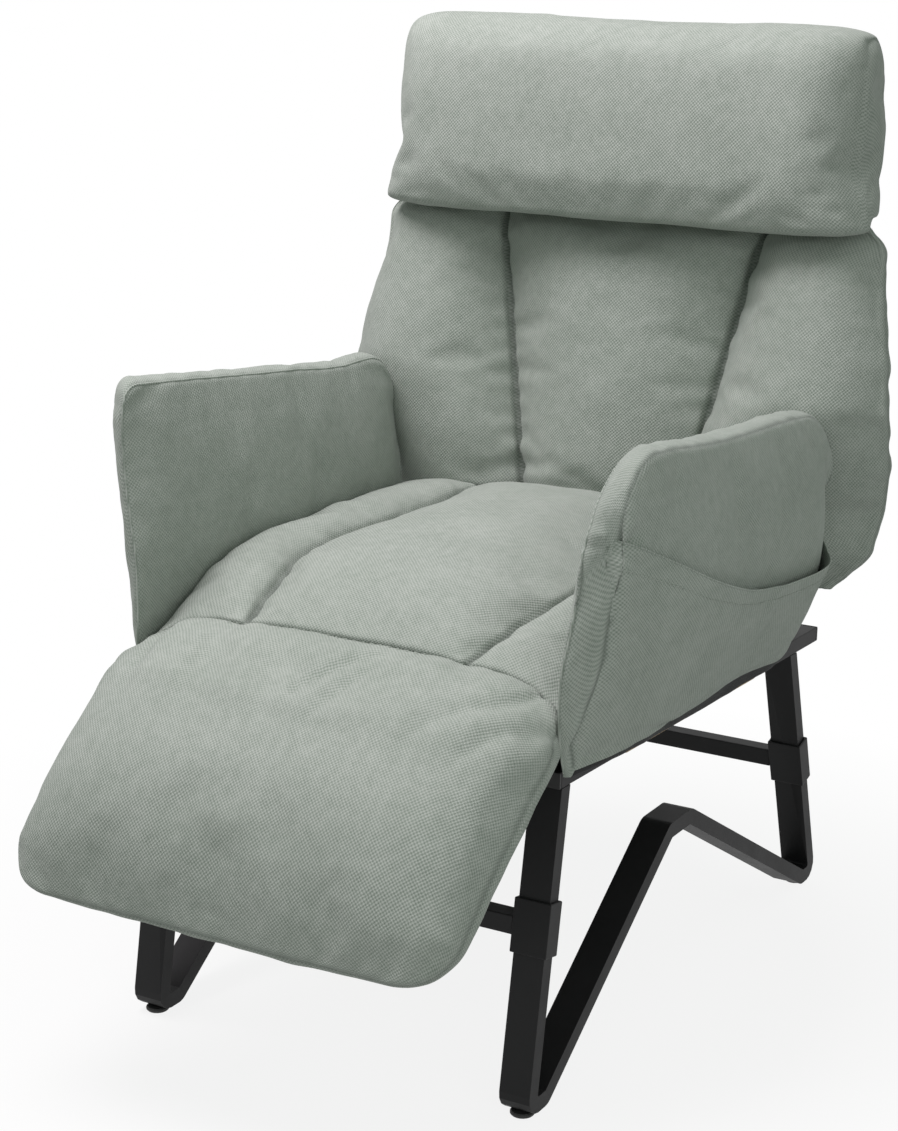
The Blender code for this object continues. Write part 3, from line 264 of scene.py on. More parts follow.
def spline(knots: Sequence[Vector], closed: bool = False, steps: int = 16) -> list[list[Vector]]:
    """A smooth curve through knots, as one list of points for each span.

    Args:
        knots: The points to pass through.
        closed: Whether the last knot joins the first.
        steps: Points in each span.

    Returns:
        The spans, each from one knot up to but without the next.
    """
    count = len(knots)
    spans = []
    for number in range(count if closed else count - 1):
        if closed:
            a, b, c, d = (knots[(number + k) % count] for k in (-1, 0, 1, 2))
        else:
            a, b, c, d = (knots[min(count - 1, max(0, number + k))] for k in (-1, 0, 1, 2))
        span = []
        for step in range(steps):
            t = step / steps
            span.append(0.5 * ((2 * b) + (c - a) * t + (2 * a - 5 * b + 4 * c - d) * t * t
                               + (3 * b - a - 3 * c + d) * t ** 3))
        spans.append(span)
    return spans


def line_through(knots: Sequence[Pair]) -> list[Vector]:
    """Points of a smooth line through knots along and up, in the plane across the chair.

    Args:
        knots: The knots in order.

    Returns:
        The points, from the first knot to the last.
    """
    places = [Vector((0, *knot)) for knot in knots]
    return [point for span in spline(places) for point in span] + [places[-1]]


def ripple(first: float, second: float, grain: Triple) -> float:
    """Noise at two distances, by its size along each and its own draw."""
    return noise.noise(Vector((first / grain[0], second / grain[1], grain[2])))


def travelled(points: Line) -> list[float]:
    """Distances along a line from its first point to each.

    Args:
        points: The line's points.

    Returns:
        One distance for each point.
    """
    runs = [0.0]
    for a, b in zip(points, points[1:]):
        runs.append(runs[-1] + (b - a).length)
    return runs


def spread(points: Line, places: Iterable[float]) -> list[Vector]:
    """Points at shares of the length of a line.

    Args:
        points: The line's points.
        places: Shares of its length, from 0 to 1.

    Returns:
        One point for each share.
    """
    runs = travelled(points)
    found = []
    for place in places:
        goal = place * runs[-1]
        number = min(len(points) - 2, max(0, int(np.searchsorted(runs, goal)) - 1))
        width = max(1e-9, runs[number + 1] - runs[number])
        found.append(points[number].lerp(points[number + 1], clamp((goal - runs[number]) / width)))
    return found


def inner_shares(count: int) -> list[float]:
    """Even places between 0 and 1, without these two."""
    return [(number + 1) / (count + 1) for number in range(count)]


def wrap_ring(front: list[Vector], back: list[Vector], edge: int, bow: float = 0.0) -> list[Vector]:
    """Join two faces of a ring by the edges between them.

    Args:
        front: One face, from the sitter's right to the left.
        back: The other face, from the left to the right.
        edge: Points on each edge.
        bow: How far the edges stand out.

    Returns:
        The ring's points: face, edge, face, edge.
    """
    steps = inner_shares(edge)
    left = [front[-1].lerp(back[0], s) + Vector((bow * arch(s), 0, 0)) for s in steps]
    right = [back[-1].lerp(front[0], s) - Vector((bow * arch(s), 0, 0)) for s in steps]
    return front + left + back + right


def closed_section(knots: Sequence[Vector], corners: Sequence[int], face: int, edge: int) -> list[Vector]:
    """A closed section sampled along two faces and the two edges between them.

    Args:
        knots: The section's points in order.
        corners: The knots where a face starts and ends, and the other starts and ends.
        face: Points on each face.
        edge: Points on each edge.

    Returns:
        The ring's points: face, edge, face, edge.
    """
    spans = spline(knots, closed=True)
    ring: list[Vector] = []
    stops = list(corners) + [corners[0] + len(knots)]
    for number, (first, last) in enumerate(zip(stops, stops[1:])):
        run = [p for k in range(first, last) for p in spans[k % len(knots)]]
        run.append(knots[last % len(knots)])
        if number % 2 == 0:
            ring += spread(run, shares(face, 0.25))
        else:
            ring += spread(run, inner_shares(edge))
    return ring


# Covers


@dataclass
class Loft:
    """A closed cover through rings, with a patch of the same cloth over each end.

    A ring runs along one face, over an edge, back along the other face and over the
    other edge. The weave of flat faces is measured straight across the chair.
    """

    name: str
    rings: list[list[Vector]]
    face: int
    edge: int
    bulge: Pair = (0.0, 0.0)
    flat: bool = False

    @property
    def around(self) -> int:
        """Points in a ring."""
        return 2 * (self.face + self.edge)

    def along(self, place: int) -> list[int]:
        """Vertices at one place of every ring."""
        return [ring * self.around + place % self.around for ring in range(len(self.rings))]

    def hoop(self, ring: int, places: Iterable[int] | None = None) -> list[int]:
        """Vertices of one ring, counted from the end where the number is negative."""
        ring = ring % len(self.rings)
        return [ring * self.around + place % self.around for place in (places or range(self.around + 1))]

    def build(self) -> bpy.types.Object:
        """Make the cover's mesh and its weave map.

        Returns:
            The object, in the scene, at the origin.
        """
        points = [point for ring in self.rings for point in ring]
        quads: list[tuple[int, ...]] = []
        marks: list[tuple[Pair, ...]] = []
        runs, lengths = [], [[0.0] * self.around]
        for ring in self.rings:
            run = travelled(ring + ring[:1])
            runs.append([value - run[self.face // 2] for value in run])
        for first, second in zip(self.rings, self.rings[1:]):
            lengths.append([far + (b - a).length for far, a, b in zip(lengths[-1], first, second)])
        travel = [sum(row) / self.around for row in lengths]
        for row in range(len(self.rings) - 1):
            for place in range(self.around):
                after = (place + 1) % self.around
                low, high = row * self.around, (row + 1) * self.around
                quads.append((low + place, low + after, high + after, high + place))
                corners = ((row, place), (row, place + 1), (row + 1, place + 1), (row + 1, place))
                if not self.flat:
                    marks.append(tuple((runs[a][b], travel[a]) for a, b in corners))
                elif place % (self.face + self.edge) < self.face - 1:
                    marks.append(tuple((points[k].y, points[k].z) for k in quads[-1]))
                else:
                    marks.append(tuple((runs[a][b], lengths[a][b % self.around]) for a, b in corners))
        for end in (0, 1):
            self.patch(end, points, quads, marks)
        return mesh_object(self.name, points, quads, marks)

    def patch(self, end: int, points: list[Vector], quads: list, marks: list) -> None:
        """Close one end with a grid between the ring's four sides.

        Args:
            end: 0 for the first ring, 1 for the last.
            points: The mesh's points, added to.
            quads: The mesh's faces, added to.
            marks: The weave map's corners, added to.
        """
        n, c = self.face, self.edge
        base = 0 if end == 0 else (len(self.rings) - 1) * self.around
        ring, inner = self.rings[-end], self.rings[1 if end == 0 else -2]
        out = (sum(ring, Vector()) - sum(inner, Vector())).normalized()
        grid = [[0] * (c + 2) for _ in range(n)]
        for i in range(n):
            grid[i][0], grid[i][c + 1] = base + i, base + n + c + (n - 1 - i)
        for j in range(1, c + 1):
            grid[n - 1][j], grid[0][j] = base + n + j - 1, base + 2 * n + c + (c - j)
        run = travelled(ring[:n])
        width = sum((points[grid[i][c + 1]] - points[grid[i][0]]).length for i in range(n)) / n
        corner = [points[grid[i][j]] for i in (0, n - 1) for j in (0, c + 1)]
        for i in range(1, n - 1):
            s = run[i] / run[-1]
            for j in range(1, c + 1):
                t = j / (c + 1)
                point = (points[grid[i][0]] * (1 - t) + points[grid[i][c + 1]] * t
                         + points[grid[0][j]] * (1 - s) + points[grid[n - 1][j]] * s
                         - corner[0] * ((1 - s) * (1 - t)) - corner[1] * ((1 - s) * t)
                         - corner[2] * (s * (1 - t)) - corner[3] * (s * t))
                swell = (arch(s) * arch(t)) ** PATCH_FULLNESS
                grid[i][j] = len(points)
                points.append(point + out * (self.bulge[end] * swell))
        for i in range(n - 1):
            for j in range(c + 1):
                cells = ((i, j), (i + 1, j), (i + 1, j + 1), (i, j + 1))
                quads.append(tuple(grid[a][b] for a, b in cells))
                marks.append(tuple((run[a], width * b / (c + 1)) for a, b in cells))


def link_object(name: str, data: bpy.types.ID) -> bpy.types.Object:
    """Make an object and link it to the scene.

    Args:
        name: The object's name.
        data: Its mesh, light or camera.

    Returns:
        The object, at the origin.
    """
    obj = bpy.data.objects.new(name, data)
    bpy.context.scene.collection.objects.link(obj)
    return obj


def mesh_object(name: str, points: Line, faces: Sequence[Sequence[int]],
                marks: Sequence[Sequence[Pair]] | None = None) -> bpy.types.Object:
    """Make a smooth mesh object whose faces point outwards.

    Args:
        name: The object's name.
        points: Its vertices.
        faces: Its faces.
        marks: Corners of the weave map, one list for each face.

    Returns:
        The object, in the scene, at the origin.
    """
    mesh = bpy.data.meshes.new(name)
    mesh.from_pydata([tuple(point) for point in points], [], [tuple(face) for face in faces])
    if marks is not None:
        layer = mesh.uv_layers.new(name=WEAVE_MAP)
        layer.data.foreach_set("uv", [value for face in marks for corner in face for value in corner])
    work = bmesh.new()
    work.from_mesh(mesh)
    bmesh.ops.recalc_face_normals(work, faces=work.faces)
    for face in work.faces:
        face.smooth = True
    work.to_mesh(mesh)
    work.free()
    return link_object(name, mesh)


def plain_mesh(obj: bpy.types.Object) -> None:
    """Put what an object's modifiers make in its mesh, and remove them.

    Args:
        obj: The object to settle.
    """
    bpy.context.view_layer.update()
    graph = bpy.context.evaluated_depsgraph_get()
    made = bpy.data.meshes.new_from_object(obj.evaluated_get(graph), preserve_all_data_layers=True, depsgraph=graph)
    obj.modifiers.clear()
    old = obj.data
    obj.data = made
    made.name = obj.name
    bpy.data.meshes.remove(old)


def finer_mesh(obj: bpy.types.Object) -> None:
    """Subdivide an object once after its other modifiers, and shade it smooth.

    Args:
        obj: The object to refine.
    """
    finer = obj.modifiers.new("finer", "SUBSURF")
    finer.levels = finer.render_levels = 1
    plain_mesh(obj)
    obj.data.polygons.foreach_set("use_smooth", [True] * len(obj.data.polygons))


@dataclass(frozen=True)
class Seam:
    """A sewn line: how deep it draws in, how the cloth beside it puckers and how dark a shade is painted along it.

    It follows vertices of the cover, or points that are traced on to it.
    """

    path: tuple[int, ...] = ()
    trace: tuple[Vector, ...] = ()
    depth: float = 0.0025
    width: float = 0.005
    pucker: float = 0.0012
    wave: float = 0.024
    reach: float = 0.030
    # Strength of the painted shade along the seam
    shade: float = 1.0


@dataclass(frozen=True)
class Filling:
    """How a cover is stuffed."""

    pressure: float = 4.0
    cap: float = 0.022
    slack: float = 0.02
    tension: float = 18.0
    bending: float = 0.8


@dataclass
class Cover:
    """A padded cover while it is made: its loft, its sewn lines and its filling."""

    loft: Loft
    seams: list[Seam]
    pins: set[int]
    filling: Filling
    lump: float = 0.0010
    lump_size: float = 0.085
    seed: float = 1.0
    obj: bpy.types.Object = field(init=False)

    def __post_init__(self) -> None:
        """Sew the cover's object, with its sewn lines held."""
        self.obj = self.loft.build()
        group = self.obj.vertex_groups.new(name=PIN_GROUP)
        held = set(self.pins)
        for seam in self.seams:
            held.update(seam.path)
        group.add(sorted(held), 1.0, "REPLACE")

    def add_cloth(self, frames: int) -> None:
        """Give the cover the cloth that the filling swells.

        Args:
            frames: Length of the simulation.
        """
        cloth = self.obj.modifiers.new("fill", "CLOTH")
        settings = cloth.settings
        settings.quality = 5
        settings.mass = 0.3
        settings.tension_stiffness = settings.compression_stiffness = self.filling.tension
        settings.shear_stiffness = self.filling.tension / 2
        settings.bending_stiffness = self.filling.bending
        settings.use_pressure = True
        settings.uniform_pressure_force = self.filling.pressure
        settings.shrink_min = -self.filling.slack
        settings.effector_weights.gravity = 0.0
        settings.vertex_group_mass = PIN_GROUP
        cloth.collision_settings.use_collision = False
        cloth.point_cache.frame_start, cloth.point_cache.frame_end = 1, frames

    def take_shape(self, graph: bpy.types.Depsgraph) -> None:
        """Keep the filled shape, no point further from its start than the cap.

        Args:
            graph: The evaluated scene at the simulation's last frame.
        """
        filled = self.obj.evaluated_get(graph).data
        for start, end in zip(self.obj.data.vertices, filled.vertices):
            move = end.co - start.co
            start.co += move * (self.filling.cap / max(self.filling.cap, move.length))
        self.obj.modifiers.clear()

    def refine(self, relief: Callable[[Vector], float]) -> None:
        """Subdivide the cover once, press its seams, puckers and lumps into it, and store the shade painted along its
        seams.

        Args:
            relief: Height to add at a point of the chair, for a piece's own folds.
        """
        finer_mesh(self.obj)
        mesh = self.obj.data
        places = [vertex.co.copy() for vertex in mesh.vertices]
        normals = [vertex.normal.copy() for vertex in mesh.vertices]
        heights = np.zeros(len(places))
        marks = np.zeros(len(places))
        for number, seam in enumerate(self.seams):
            knots = [places[k] for k in seam.path]
            if seam.trace:
                skin = BVHTree.FromPolygons(places, [tuple(face.vertices) for face in mesh.polygons])
                knots = [skin.find_nearest(point)[0] for point in seam.trace]
            line = spread(knots, shares(max(60, 3 * len(knots)), 0.0))
            tree, run = KDTree(len(line)), [0.0] + travelled(line)
            for k, point in enumerate(line):
                tree.insert(point, k)
            tree.balance()
            for k, place in enumerate(places):
                _, near, gap = tree.find(place)
                if gap > SEAM_FAR * seam.reach:
                    continue
                valley = bell(gap, seam.width)
                wave = noise.noise(Vector((run[near] / seam.wave, SEAM_DRAW * number + self.seed, 0.0)))
                heights[k] -= seam.depth * valley
                heights[k] += seam.pucker * 2.0 * wave * bell(gap, seam.reach) * (1 - 0.6 * valley)
                # Painted shade: how much the cloth colour is darkened here, strongest on the seam line
                marks[k] = max(marks[k], seam.shade * bell(gap, SEAM_SHADE_WIDTH * seam.width))
        for k, place in enumerate(places):
            heights[k] += self.lump * noise.noise(place / self.lump_size + Vector((self.seed, 0.0, 0.0)))
            fine = noise.noise(place / (FINE_LUMP_SIZE * self.lump_size) + Vector((0.0, self.seed, 0.0)))
            heights[k] += FINE_LUMP * self.lump * fine
            heights[k] += relief(place)
        for vertex, normal, height in zip(mesh.vertices, normals, heights):
            vertex.co += normal * height
        # Keep the painted seam shade for the cloth's material
        layer = mesh.attributes.new(PAINTED_SEAM_SHADE, "FLOAT", "POINT")
        layer.data.foreach_set("value", marks.astype(np.float32))
        self.obj.vertex_groups.clear()

    def path(self, indices: Iterable[int]) -> list[Vector]:
        """Places of the cover's first vertices as they lie now."""
        return [self.obj.data.vertices[k].co.copy() for k in indices]


def fill_covers(covers: Sequence[Cover], frames: int = 20) -> None:
    """Args:
        covers: The covers to fill.
        frames: Length of the simulation.
    """
    scene = bpy.context.scene
    scene.frame_start, scene.frame_end = 1, frames
    for cover in covers:
        cover.add_cloth(frames)
    for number in range(1, frames + 1):
        scene.frame_set(number)
    graph = bpy.context.evaluated_depsgraph_get()
    for cover in covers:
        cover.take_shape(graph)
    scene.frame_set(1)


# Finishes


class NodeBoard:
    """Adds and links the nodes of one tree."""

    def __init__(self, tree: bpy.types.NodeTree) -> None:
        """Start on a tree."""
        self.tree = tree

    def add(self, kind: str, inputs: dict | None = None, **settings: object) -> bpy.types.Node:
        """Add a node, set it up and feed its inputs.

        Args:
            kind: The node's type.
            inputs: Values or sockets by the input's name or number.
            settings: The node's own properties.

        Returns:
            The node.
        """
        node = self.tree.nodes.new(kind)
        for name, value in settings.items():
            setattr(node, name, value)
        self.feed(node, inputs or {})
        return node

    def feed(self, node: bpy.types.Node, inputs: dict) -> None:
        """Set a node's inputs, and link those that are given a socket.

        Args:
            node: The node to feed.
            inputs: Values or sockets by the input's name or number.
        """
        for name, value in inputs.items():
            if isinstance(value, bpy.types.NodeSocket):
                self.tree.links.new(value, node.inputs[name])
            else:
                node.inputs[name].default_value = value

    def sum(self, operation: str, first: object, second: object = 0.0, third: object = 0.0) -> bpy.types.NodeSocket:
        """Add a Math node and give its result.

        Args:
            operation: The kind of sum.
            first: A value or a socket.
            second: A value or a socket.
            third: A value or a socket.

        Returns:
            The node's output.
        """
        node = self.add("ShaderNodeMath", {0: first, 1: second, 2: third}, operation=operation)
        return node.outputs[0]

    def mix(self, factor: object, first: object, second: object, blend: str = "MIX") -> bpy.types.NodeSocket:
        """Add a colour mix and give its result.

        Args:
            factor: Share of the second colour.
            first: The first colour.
            second: The second colour.
            blend: How they mix.

        Returns:
            The node's colour output.
        """
        node = self.add("ShaderNodeMix", {0: factor, 6: first, 7: second}, data_type="RGBA", blend_type=blend)
        return node.outputs[2]


def new_material(name: str) -> tuple[bpy.types.Material, NodeBoard, bpy.types.Node]:
    """A material with a Principled shader.

    Args:
        name: The material's name.

    Returns:
        The material, its board and its shader.
    """
    material = bpy.data.materials.new(name)
    material.use_nodes = True
    return material, NodeBoard(material.node_tree), material.node_tree.nodes["Principled BSDF"]


@dataclass(frozen=True)
class WovenCloth:
    """A coarse woven upholstery cloth of thick and thin mottled yarns, with shade painted along its seams."""

    name: str
    light: Triple = (0.436, 0.470, 0.432)
    dark: Triple = (0.222, 0.264, 0.224)
    pitch: float = 0.0040
    mapping: Mapping = Mapping.COVER
    relief: float = 0.38

    def material(self) -> bpy.types.Material:
        """Make the cloth.

        Returns:
            The material, with its weave on the cover's map or in space.
        """
        material, board, shader = new_material(self.name)
        space = board.add("ShaderNodeTexCoord").outputs["Object"]
        if self.mapping is Mapping.COVER:
            place = board.add("ShaderNodeUVMap", uv_map=WEAVE_MAP).outputs[0]
        else:
            place = space
        wander = board.add("ShaderNodeTexNoise", {"Vector": place, "Scale": 190.0, "Detail": 1.0})
        bent = board.add("ShaderNodeVectorMath", {0: wander.outputs["Color"], 1: (0.5, 0.5, 0.5)}, operation="SUBTRACT")
        bent = board.add("ShaderNodeVectorMath", {0: bent.outputs[0], 3: 0.0011}, operation="SCALE")
        bent = board.add("ShaderNodeVectorMath", {0: place, 1: bent.outputs[0]}, operation="ADD")
        parts = board.add("ShaderNodeSeparateXYZ", {0: bent.outputs[0]})
        turn = 2 * math.pi / self.pitch
        warp = board.sum("SINE", board.sum("MULTIPLY", parts.outputs[0], turn))
        weft = board.sum("SINE", board.sum("MULTIPLY", parts.outputs[1], turn))
        knots = board.sum("MULTIPLY", warp, weft)
        fibre = board.add("ShaderNodeTexNoise", {"Vector": place, "Scale": 620.0, "Detail": 3.0, "Roughness": 0.7})
        patch = board.add("ShaderNodeTexNoise", {"Vector": space, "Scale": 17.0, "Detail": 4.0, "Roughness": 0.6})
        slub = board.add("ShaderNodeTexNoise", {"Vector": place, "Scale": 95.0, "Detail": 2.0})
        tone = board.sum("MULTIPLY_ADD", knots, 0.50, 0.54)
        for cloud, weight in ((fibre, 0.7), (slub, 0.5), (patch, 0.55)):
            tone = board.sum("ADD", tone, board.sum("MULTIPLY_ADD", cloud.outputs[0], weight, -weight / 2))
        limited = board.add("ShaderNodeClamp", {0: tone})
        colour = board.mix(limited.outputs[0], (*self.dark, 1.0), (*self.light, 1.0))
        # Painted shade along the seams: the colour is mixed towards a near-black green by the seam attribute
        seam = board.add("ShaderNodeAttribute", attribute_name=PAINTED_SEAM_SHADE)
        shade = board.sum("MULTIPLY", seam.outputs["Fac"], 0.74)
        colour = board.mix(shade, colour, (0.075, 0.092, 0.078, 1.0))
        height = board.sum("ADD", knots, board.sum("MULTIPLY", fibre.outputs[0], 1.1))
        bump = board.add("ShaderNodeBump", {"Strength": self.relief, "Distance": 0.0008, "Height": height})
        rough = board.sum("MULTIPLY_ADD", fibre.outputs[0], 0.12, 0.82)
        board.feed(shader, {"Base Color": colour, "Roughness": rough, "Normal": bump.outputs[0],
                            "Specular IOR Level": 0.15, "Sheen Weight": 0.14, "Sheen Roughness": 0.45})
        return material


@dataclass(frozen=True)
class Coating:
    """A hard finish with fine grain: paint, metal, plastic or wood, with edge wear and a painted highlight on its edges
    where asked.
    """

    name: str
    colour: Triple
    second: Triple
    roughness: float
    metallic: float = 0.0
    grain: float = 900.0
    stretch: Triple = (1.0, 1.0, 1.0)
    bump: float = 0.12
    edge_wear_and_highlight: float = 0.0
    gloss: float = 0.5

    def material(self) -> bpy.types.Material:
        """Make the finish.

        Returns:
            The material, on Object coordinates.
        """
        material, board, shader = new_material(self.name)
        space = board.add("ShaderNodeTexCoord").outputs["Object"]
        place = board.add("ShaderNodeMapping", {"Vector": space, "Scale": self.stretch})
        fine = board.add("ShaderNodeTexNoise", {"Vector": place.outputs[0], "Scale": self.grain, "Detail": 3.0})
        cloud = board.add("ShaderNodeTexNoise", {"Vector": space, "Scale": 22.0, "Detail": 4.0, "Roughness": 0.65})
        tone = board.sum("MULTIPLY_ADD", fine.outputs[0], 0.6, board.sum("MULTIPLY", cloud.outputs[0], 0.4))
        colour = board.mix(tone, (*self.colour, 1.0), (*self.second, 1.0))
        # Edge wear and a painted highlight: edges that pointiness finds convex are mixed towards a lighter grey
        if self.edge_wear_and_highlight > 0:
            edge = board.add("ShaderNodeNewGeometry").outputs["Pointiness"]
            rubbed_and_lit = board.add("ShaderNodeMapRange", {0: edge, 1: 0.53, 2: 0.62, 3: 0.0, 4: self.edge_wear_and_highlight})
            colour = board.mix(rubbed_and_lit.outputs[0], colour, (0.09, 0.09, 0.092, 1.0))
        rough = board.sum("MULTIPLY_ADD", cloud.outputs[0], 0.16, self.roughness - 0.08)
        bump = board.add("ShaderNodeBump", {"Strength": self.bump, "Distance": 0.0004, "Height": fine.outputs[0]})
        board.feed(shader, {"Base Color": colour, "Roughness": rough, "Normal": bump.outputs[0],
                            "Metallic": self.metallic, "Specular IOR Level": self.gloss})
        return material


@dataclass(frozen=True)
class Webbing:
    """A flat ribbed strap."""

    name: str
    colour: Triple = (0.02, 0.02, 0.021)
    rib: float = 0.0024

    def material(self) -> bpy.types.Material:
        """Make the webbing.

        Returns:
            The material, its ribs across the strap.
        """
        material, board, shader = new_material(self.name)
        space = board.add("ShaderNodeTexCoord").outputs["Object"]
        parts = board.add("ShaderNodeSeparateXYZ", {0: space})
        ribs = board.sum("SINE", board.sum("MULTIPLY", parts.outputs[0], 2 * math.pi / self.rib))
        fuzz = board.add("ShaderNodeTexNoise", {"Vector": space, "Scale": 800.0, "Detail": 2.0})
        tone = board.sum("MULTIPLY_ADD", ribs, 0.25, fuzz.outputs[0])
        colour = board.mix(tone, (*self.colour, 1.0), tuple(2.4 * c for c in self.colour) + (1.0,))
        bump = board.add("ShaderNodeBump", {"Strength": 0.5, "Distance": 0.0006, "Height": tone})
        board.feed(shader, {"Base Color": colour, "Normal": bump.outputs[0], "Roughness": 0.85})
        return material


class Finishes:
    """All the chair's materials."""

    def __init__(self) -> None:
        """Make each finish once."""
        self.cloth = WovenCloth("sage_weave").material()
        self.piping = WovenCloth("sage_piping", mapping=Mapping.SPACE, relief=0.2).material()
        self.lining = WovenCloth("black_lining", light=(0.016, 0.016, 0.017), dark=(0.008, 0.008, 0.009),
                                 pitch=0.0018, mapping=Mapping.SPACE, relief=0.2).material()
        self.thread = WovenCloth("sage_thread", light=(0.47, 0.51, 0.465), dark=(0.34, 0.38, 0.335),
                                 pitch=0.0012, mapping=Mapping.SPACE, relief=0.3).material()
        self.solids = {
            "black_steel": Coating("black_powder_coat", (0.006, 0.006, 0.0065), (0.013, 0.013, 0.0135), 0.52,
                                   grain=1400.0, edge_wear_and_highlight=0.2, gloss=0.18).material(),
            "bare_steel": Coating("brushed_steel", (0.36, 0.36, 0.37), (0.52, 0.52, 0.53), 0.36, 1.0,
                                  grain=420.0, stretch=(1.0, 0.05, 1.0)).material(),
            "black_plastic": Coating("black_moulding", (0.012, 0.012, 0.012), (0.024, 0.024, 0.024), 0.62,
                                     grain=700.0, bump=0.2).material(),
            "black_webbing": Webbing("black_strap").material(),
            "plywood": Coating("birch_ply", (0.48, 0.34, 0.20), (0.66, 0.50, 0.33), 0.7, grain=60.0,
                               stretch=(8.0, 0.6, 8.0)).material(),
        }

    def dress_solids(self, nodes: dict[str, bpy.types.Object]) -> None:
        """Give every solid that stays in sight its finish and soft edges.

        Args:
            nodes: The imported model's objects by name.
        """
        for name, obj in nodes.items():
            word = obj.data.materials[0].name.split(".")[0] if obj.data.materials else ""
            material = self.solids.get(word)
            if material is None:
                continue
            obj.data.materials[0] = material
            if word in ("black_steel", "black_plastic"):
                weld = obj.modifiers.new("weld", "WELD")
                weld.merge_threshold = 0.00002
                bevel = obj.modifiers.new("bevel", "BEVEL")
                bevel.width, bevel.segments = 0.0011, 2
                bevel.limit_method, bevel.angle_limit = "ANGLE", math.radians(50)
                bevel.use_clamp_overlap = True
            LOG.info("solid %s: %s", name, material.name)


# Piping and stitches


def note_piece(obj: bpy.types.Object, nodes: Sequence[str] = ()) -> None:
    """Hide the solids that a cloth piece stands for, and log its face count and bounds.

    Args:
        obj: The piece.
        nodes: The solids that it replaces.
    """
    if nodes:
        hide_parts(*nodes)
    low, high = ([round(pick(corner[k] for corner in obj.bound_box), 3) for k in range(3)] for pick in (min, max))
    LOG.info("piece %s: %d faces, %s to %s", obj.name, len(obj.data.polygons), low, high)


